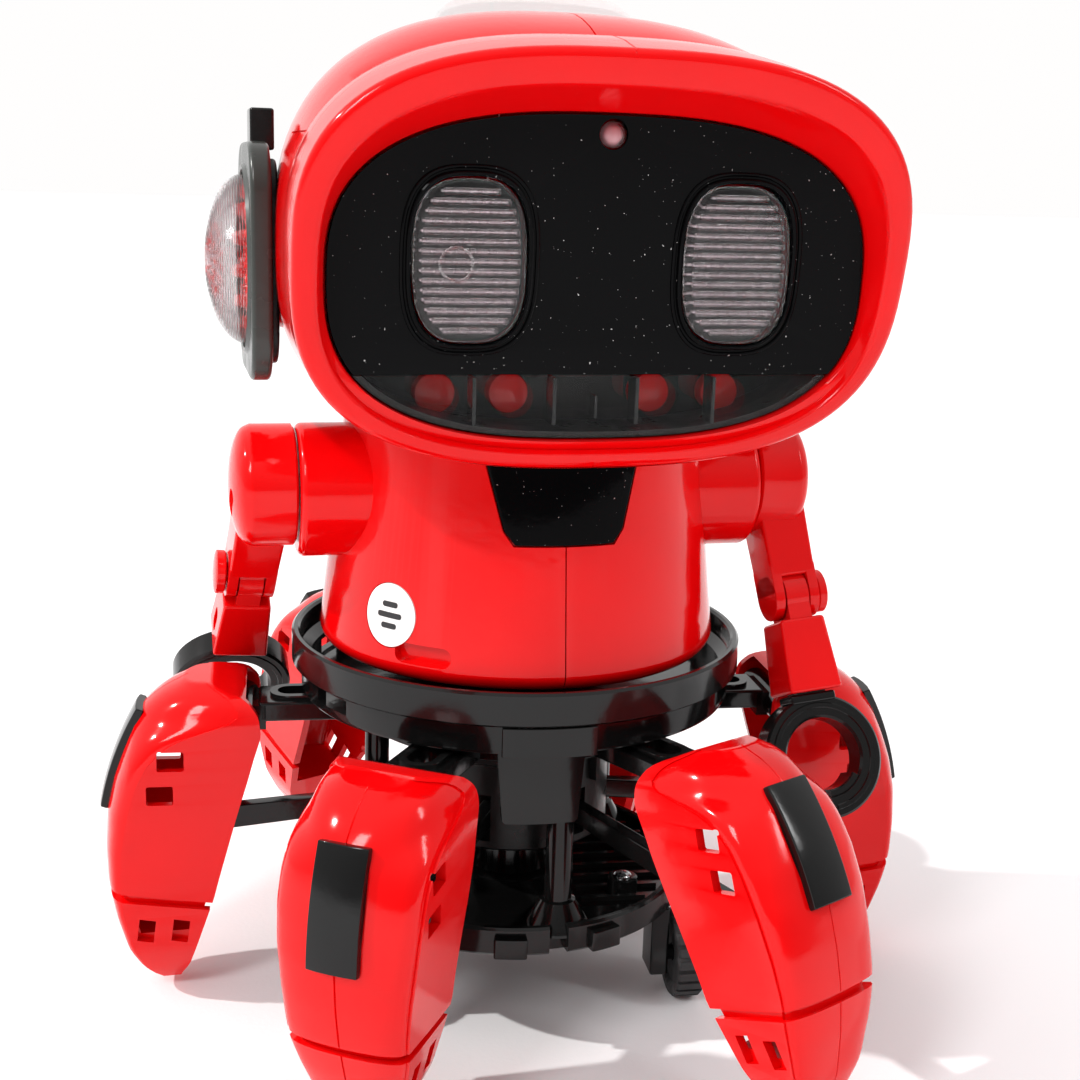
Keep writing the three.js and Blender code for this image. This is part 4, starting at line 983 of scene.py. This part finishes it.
def rod_mesh():
    """Flat connecting rod with an eye at each end and a web along it."""
    inner, rise = -48.0, 48 * tan(radians(5))
    outline = []
    for x, z, radius, start in ((0, 0, 2.6, -90), (inner, rise, 2, 90)):
        for k in range(13):
            a = radians(start + 15 * k)
            outline.append((x + radius * cos(a), z + radius * sin(a)))
    bar = soften(slab("rod", outline, -1.6, 1.6, "xz"), 0.35, 2)
    eye = rod_between("eye", (0, -3, 0), (0, 3, 0), 1.1)
    return carve(bar, eye)


def make_legs():
    shell, rod = make_leg_mesh(), rod_mesh()
    pad = soften(pad_prism(0, 1.3, -0.6), 0.3, 2)
    swings = [joint for joint in JOINTS if joint.startswith("leg_") and joint.endswith("_swing")]
    for joint in swings:
        name = joint.removeprefix("leg_").removesuffix("_swing")
        leg_at, rod_at = leg_place(name)
        for source, title, at, body, material, slot, node in (
            (shell, "claw", leg_at, "leg", RED, "red_plastic", "leg_shell"),
            (pad, "claw_pad", leg_at, "leg", BLACK, "black_plastic", "leg_pad"),
            (rod, "link", rod_at, "rod", BLACK, "black_plastic", "leg_rod"),
        ):
            made = place(copy_of(source), at)
            made.name = f"{title}_{name}"
            piece(made, f"{body}_{name}", material, [f"{node}_{name}"])
    for source in (shell, pad, rod):
        bpy.data.objects.remove(source)


# ---------------------------------------------------------------- base
def wedge(azimuth, half_angle, inner, outer, low, high, steps=10):
    """Block between two radii over an angle either side of an azimuth, 0 being the front."""
    start = radians(azimuth - 90 - half_angle)
    span = radians(2 * half_angle)
    arc = [start + span * k / steps for k in range(steps + 1)]
    outline = [(outer * cos(a), outer * sin(a)) for a in arc]
    outline += [(inner * cos(a), inner * sin(a)) for a in reversed(arc)]
    return slab("wedge", outline, low, high)


def screw(at, radius=1.7):
    """Pan-head screw seen from above, with a cross recess."""
    head = lathe("screw", [(radius, 0), (radius, 0.4), *dome(radius * 0.97, 0.55, 0.4, 5)], count=24)
    for turn in (0, pi / 2):
        bar = block("recess", (-radius * 0.62, -0.22, 0.45), (radius * 0.62, 0.22, 2))
        carve(head, place(bar, Matrix.Rotation(turn, 4, "Z")))
    return place(head, shift(at))


def make_bowl():
    """Stepped black skirt round the torso, with its front panel and hanging apron."""
    rim, step, floor = 80, 73.2, 66.8
    profile = [(12, floor), (44.6, floor), (45.6, floor + 0.4), (46, floor + 1.2), (46, step - 0.2),
               (47.4, step), (48, step + 0.5), (48, rim - 0.5), (47.5, rim), (46.7, rim), (46.2, rim - 0.5),
               (46.2, step + 2), (44.2, step + 0.2), (44.2, floor + 1.8), (12, floor + 1.8)]
    skin = lathe("bowl", profile, loop=True, count=144)
    tools = [wedge(a, 7, 43, 60, floor + 2.4, step - 1) for a in (-62, -118, 62, 118)]
    tools.append(wedge(125, 20, 40, 60, floor + 4, rim + 5))
    carve(skin, *tools)
    panel = soften(wedge(0, 11.5, 44.5, 46.9, floor, step - 0.4), 0.3, 2)
    right = [(7.0, 49.6), (7.6, 50.2), (8.9, 66), (8.9, 68)]
    apron = slab("apron", [(-7.0, 49.6), *right, *[(-x, z) for x, z in right[:0:-1]]], -60, -20, "xz")
    carve(apron, lathe("tube", [(38, 40), (38, 75)], count=144), how="INTERSECT")
    carve(apron, lathe("tube", [(36.2, 39), (36.2, 76)], count=144))
    bowl = place(join("skirt", skin, panel, apron), BASE_TURN)
    piece(bowl, ROOT, BLACK, ["waist_bowl"])


LEG_AZIMUTHS = (-30, 30, -90, 90, -150, 150)


def make_leg_frame():
    """Six slotted arms on a hub, each with a hinge barrel and a screw."""
    bottom, top = 61.0, box_mm("leg_frame")[1].z
    parts = [soften(lathe("hub", [(8, bottom), (34, bottom), (34, top), (8, top)], loop=True), 0.5)]
    screws = []
    for azimuth in LEG_AZIMUTHS:
        turn = turned(azimuth - 90)
        arm = soften(block("arm", (20, -6, bottom), (55, 6, top)), 0.6)
        carve(arm, slab("slot", rounded(46, 0, 5, 2.6, 2.5), bottom - 1, top + 1))
        rib = slab("rib", rounded(46, 0, 6.6, 4.2, 4.0), top, top + 0.8)
        carve(rib, slab("slot", rounded(46, 0, 5, 2.6, 2.5), top - 1, top + 2))
        barrel = rod_between("barrel", (58, -10.5, 62), (58, 10.5, 62), 3.1, count=40)
        lug = block("lug", (53.5, -6, 59.4), (58, 6, 64.6))
        parts += [place(p, turn) for p in (arm, rib, soften(barrel, 0.3, 2), lug)]
        screws.append(place(screw((38.5, 0, top)), turn))
    frame_piece = place(join("star_frame", *parts), BASE_TURN)
    piece(frame_piece, ROOT, BLACK, ["leg_frame"])
    piece(place(join("frame_screws", *screws), BASE_TURN), ROOT, STEEL)


def make_cam_box():
    top = 60.7
    profile = [(18.6, 36), (20.4, 36), (21, 36.6), (21, top - 6), (25, top - 4), (25, top), (18.6, top)]
    body = lathe("drum", profile, loop=True, count=112)
    windows = [place(block("window", (10, -3.4, 38), (30, 3.4, 48.2)), turned(a - 90)) for a in LEG_AZIMUTHS]
    carve(body, *windows)
    bottom = lathe("bottom", [(4, 36), (19, 36), (19, 38), (4, 38)], loop=True)
    ribs = []
    for k in range(12):
        rib = block("rib", (20.6, -0.6, 49.5), (22.6, 0.6, top - 5))
        ribs.append(place(rib, turned(15 + 30 * k)))
    box = place(join("cam_drum", body, bottom, *ribs), BASE_TURN)
    piece(box, ROOT, MATT_BLACK, ["cam_box"])


def spot(azimuth, radius, z=0):
    """Point at an azimuth from the front, before the base is turned."""
    a = radians(azimuth)
    return radius * sin(a), -radius * cos(a), z


def make_base_plate():
    """Round tray with tabs, posts, gear housing, bosses and screws."""
    top, bottom, radius, rib_radius = 27, 21, 38, 34
    profile = [(10, bottom), (radius - 0.6, bottom), (radius, bottom + 0.6), (radius, top - 0.5),
               (radius - 0.5, top), (radius - 1.5, top), (radius - 2, top - 0.5), (radius - 2, top - 2.4),
               (10, top - 2.4)]
    tray = lathe("tray", profile, loop=True, count=144)
    carve(tray, wedge(7, 3, radius - 2.5, radius + 4, bottom - 1, top + 1))
    parts = [tray, lathe("centre", [(11, bottom), (11, top - 2.2), (9, top - 1.6), (7, 35.7)], count=64)]
    for azimuth in (-8, 22):
        parts.append(soften(wedge(azimuth, 5, 34, radius + 1.6, bottom, top - 1.6), 0.4, 2))
    screws = []
    for azimuth in (10, 130, -110):
        post = lathe("post", [(6.4, 24), (6.2, 25.4), (3.6, 30), (2.9, 30.3), (2.6, 60.7)], count=56)
        parts.append(place(post, shift(spot(azimuth, 31))))
    for azimuth in (-55, 52, 95, -75, 165):
        boss = lathe("boss", [(3.4, 24), (3.2, 27.6), (1.5, 27.8)], count=40)
        parts.append(place(boss, shift(spot(azimuth, 28))))
        screws.append(screw(spot(azimuth, 28, 27.7), 1.9))
    for k in range(9):
        y = -22 + 5.4 * k
        reach = sqrt(rib_radius ** 2 - y ** 2)
        for x0, x1 in ((-reach, -12), (12, reach)):
            parts.append(block("rib", (x0, y - 0.5, 24), (x1, y + 0.5, 25.6)))
    parts.append(soften(block("housing", (-18, -12, 9), (18, 14, 22)), 1.0))
    for side in (-1, 1):
        low_x, high_x = sorted((side * 28, side * 32))
        parts.append(soften(block("bracket", (low_x, -22, 6.1), (high_x, -14, 22)), 0.6))
        parts.append(rod_between("axle", (side * 31, -18, 9.5), (side * 39.6, -18, 9.5), 1.6))
    plate = place(join("base_tray", *parts), BASE_TURN)
    piece(plate, ROOT, BLACK, ["base_plate"])
    piece(place(join("base_screws", *screws), BASE_TURN), ROOT, STEEL)


def make_wheel(name, joint, body, radius, width, treads):
    """Rubber tyre with cross grooves round a dished hub."""
    half = width / 2
    dish = half - 0.8
    shoulder = [(radius, half - 0.5), (radius - 0.5, half), (radius - 2.2, half)]
    right = [*shoulder, (radius - 3, dish), (1.9, dish)]
    left = [(r, -z) for r, z in reversed(right)]
    tyre = lathe("tyre", left + right, loop=True, count=96)
    cuts = []
    for k in range(treads):
        cut = block("tread", (radius - 0.5, -0.45, -half - 1), (radius + 1, 0.45, half + 1))
        cuts.append(place(cut, Matrix.Rotation(2 * pi * k / treads, 4, "Z")))
    if cuts:
        carve(tyre, *cuts)
    at = joint_mm(joint)
    axis = Vector(JOINTS[joint]["axis"])
    place(tyre, shift(at) @ axis.to_track_quat("Z", "Y").to_matrix().to_4x4())
    tyre.name = f"tyre_{name}"
    piece(tyre, body, RUBBER, [name])


def keep_cad(node, material):
    """A CAD node whose own shape shows, with a proper material."""
    obj = frame["nodes"][node]
    obj.data.materials.clear()
    obj.data.materials.append(material)


# ---------------------------------------------------------------- the room
def make_room():
    """Wide pale floor, sun-like key light from the left, soft windows."""
    half = 9.0
    points = [(x / MM, y / MM, 0.0) for y in (-half, half) for x in (-half, half)]
    floor = build("floor", points, [(0, 1, 3, 2)])
    floor.data.flip_normals()
    dress(floor, floor_paint(), 60)
    floor.modifiers.clear()

    def lamp(name, kind, energy, location, target=(0, 0, 0.1), **settings):
        data = bpy.data.lights.new(name, kind)
        data.energy = energy
        for key, value in settings.items():
            setattr(data, key, value)
        obj = bpy.data.objects.new(name, data)
        obj.location = location
        obj.rotation_mode = "QUATERNION"
        obj.rotation_quaternion = (Vector(target) - Vector(location)).to_track_quat("-Z", "Y")
        bpy.context.scene.collection.objects.link(obj)

    lamp("key", "SUN", 2.3, (-1.0, 0.12, 0.95), angle=radians(1.6), color=(1.0, 0.985, 0.96))
    lamp("window", "AREA", 7, (-0.8, -0.75, 0.95), shape="RECTANGLE", size=0.28, size_y=0.4)
    lamp("strip", "AREA", 1.6, (0.7, -0.5, 0.75), shape="RECTANGLE", size=0.08, size_y=0.4)
    make_sky()


def make_sky():
    """White room that is brighter above and behind the robot than in front of it."""
    world = bpy.data.worlds.new("studio")
    bpy.context.scene.world = world
    world.use_nodes = True
    tree = world.node_tree
    where = tree.nodes.new("ShaderNodeSeparateXYZ")
    mix = tree.nodes.new("ShaderNodeMath")
    ramp = tree.nodes.new("ShaderNodeMapRange")
    mix.operation = "ADD"
    tree.links.new(tree.nodes.new("ShaderNodeTexCoord").outputs["Generated"], where.inputs["Vector"])
    tree.links.new(where.outputs["Y"], mix.inputs[0])
    tree.links.new(where.outputs["Z"], mix.inputs[1])
    tree.links.new(mix.outputs["Value"], ramp.inputs["Value"])
    for socket, value in (("From Min", -0.9), ("From Max", 0.7), ("To Min", 0.22), ("To Max", 1.0)):
        ramp.inputs[socket].default_value = value
    background = tree.nodes["Background"]
    background.inputs["Color"].default_value = (1.0, 0.99, 0.985, 1)
    tree.links.new(ramp.outputs["Result"], background.inputs["Strength"])


def make_camera():
    """The camera at the photograph's viewing angle."""
    data = bpy.data.cameras.new("camera")
    data.sensor_width = SENSOR_MM
    data.lens = LENS_MM
    camera = bpy.data.objects.new("camera", data)
    right = Vector((0.9702, -0.2407, 0.0292)).normalized()
    ahead = Vector((0.2409, 0.9434, -0.2280)).normalized()
    up = right.cross(ahead).normalized()
    right = ahead.cross(up)
    turn = Matrix((right, up, -ahead)).transposed().to_4x4()
    camera.matrix_world = shift(Vector((-75.6, -315.05, 174.39)) * MM) @ turn
    data.clip_start, data.clip_end = 0.01, 20
    bpy.context.scene.collection.objects.link(camera)
    bpy.context.scene.camera = camera


def make_robot():
    make_hood()
    make_head_shells()
    make_face()
    make_mouth()
    for name, side in SIDES:
        make_eye(name, side)
        make_ear(name, side)
        place_arm = arm_frame(name, side)
        make_upper_arm(name, place_arm)
        make_forearm(name, place_arm)
        make_hand(name, place_arm)
        make_wheel(f"drive_wheel_{name}", f"drive_wheel_{name}_spin", f"wheel_{name}", 9.5, 6, 22)
    make_top_dome()
    make_torso()
    make_torso_inlays()
    make_sticker_mark()
    make_legs()
    make_bowl()
    make_leg_frame()
    make_cam_box()
    make_base_plate()
    make_wheel("caster_wheel", "caster_wheel_spin", "caster_roller", 7.5, 5, 0)
    keep_cad("caster_fork", BLACK)
    keep_cad("cam_disc", WHITE)
    keep_cad("power_switch", WHITE)
    for node in ("battery_1", "battery_2", "battery_3", "drive_motor"):
        keep_cad(node, STEEL)


make_camera()
make_room()
make_robot()
bpy.context.scene.view_settings.view_transform = "Standard"
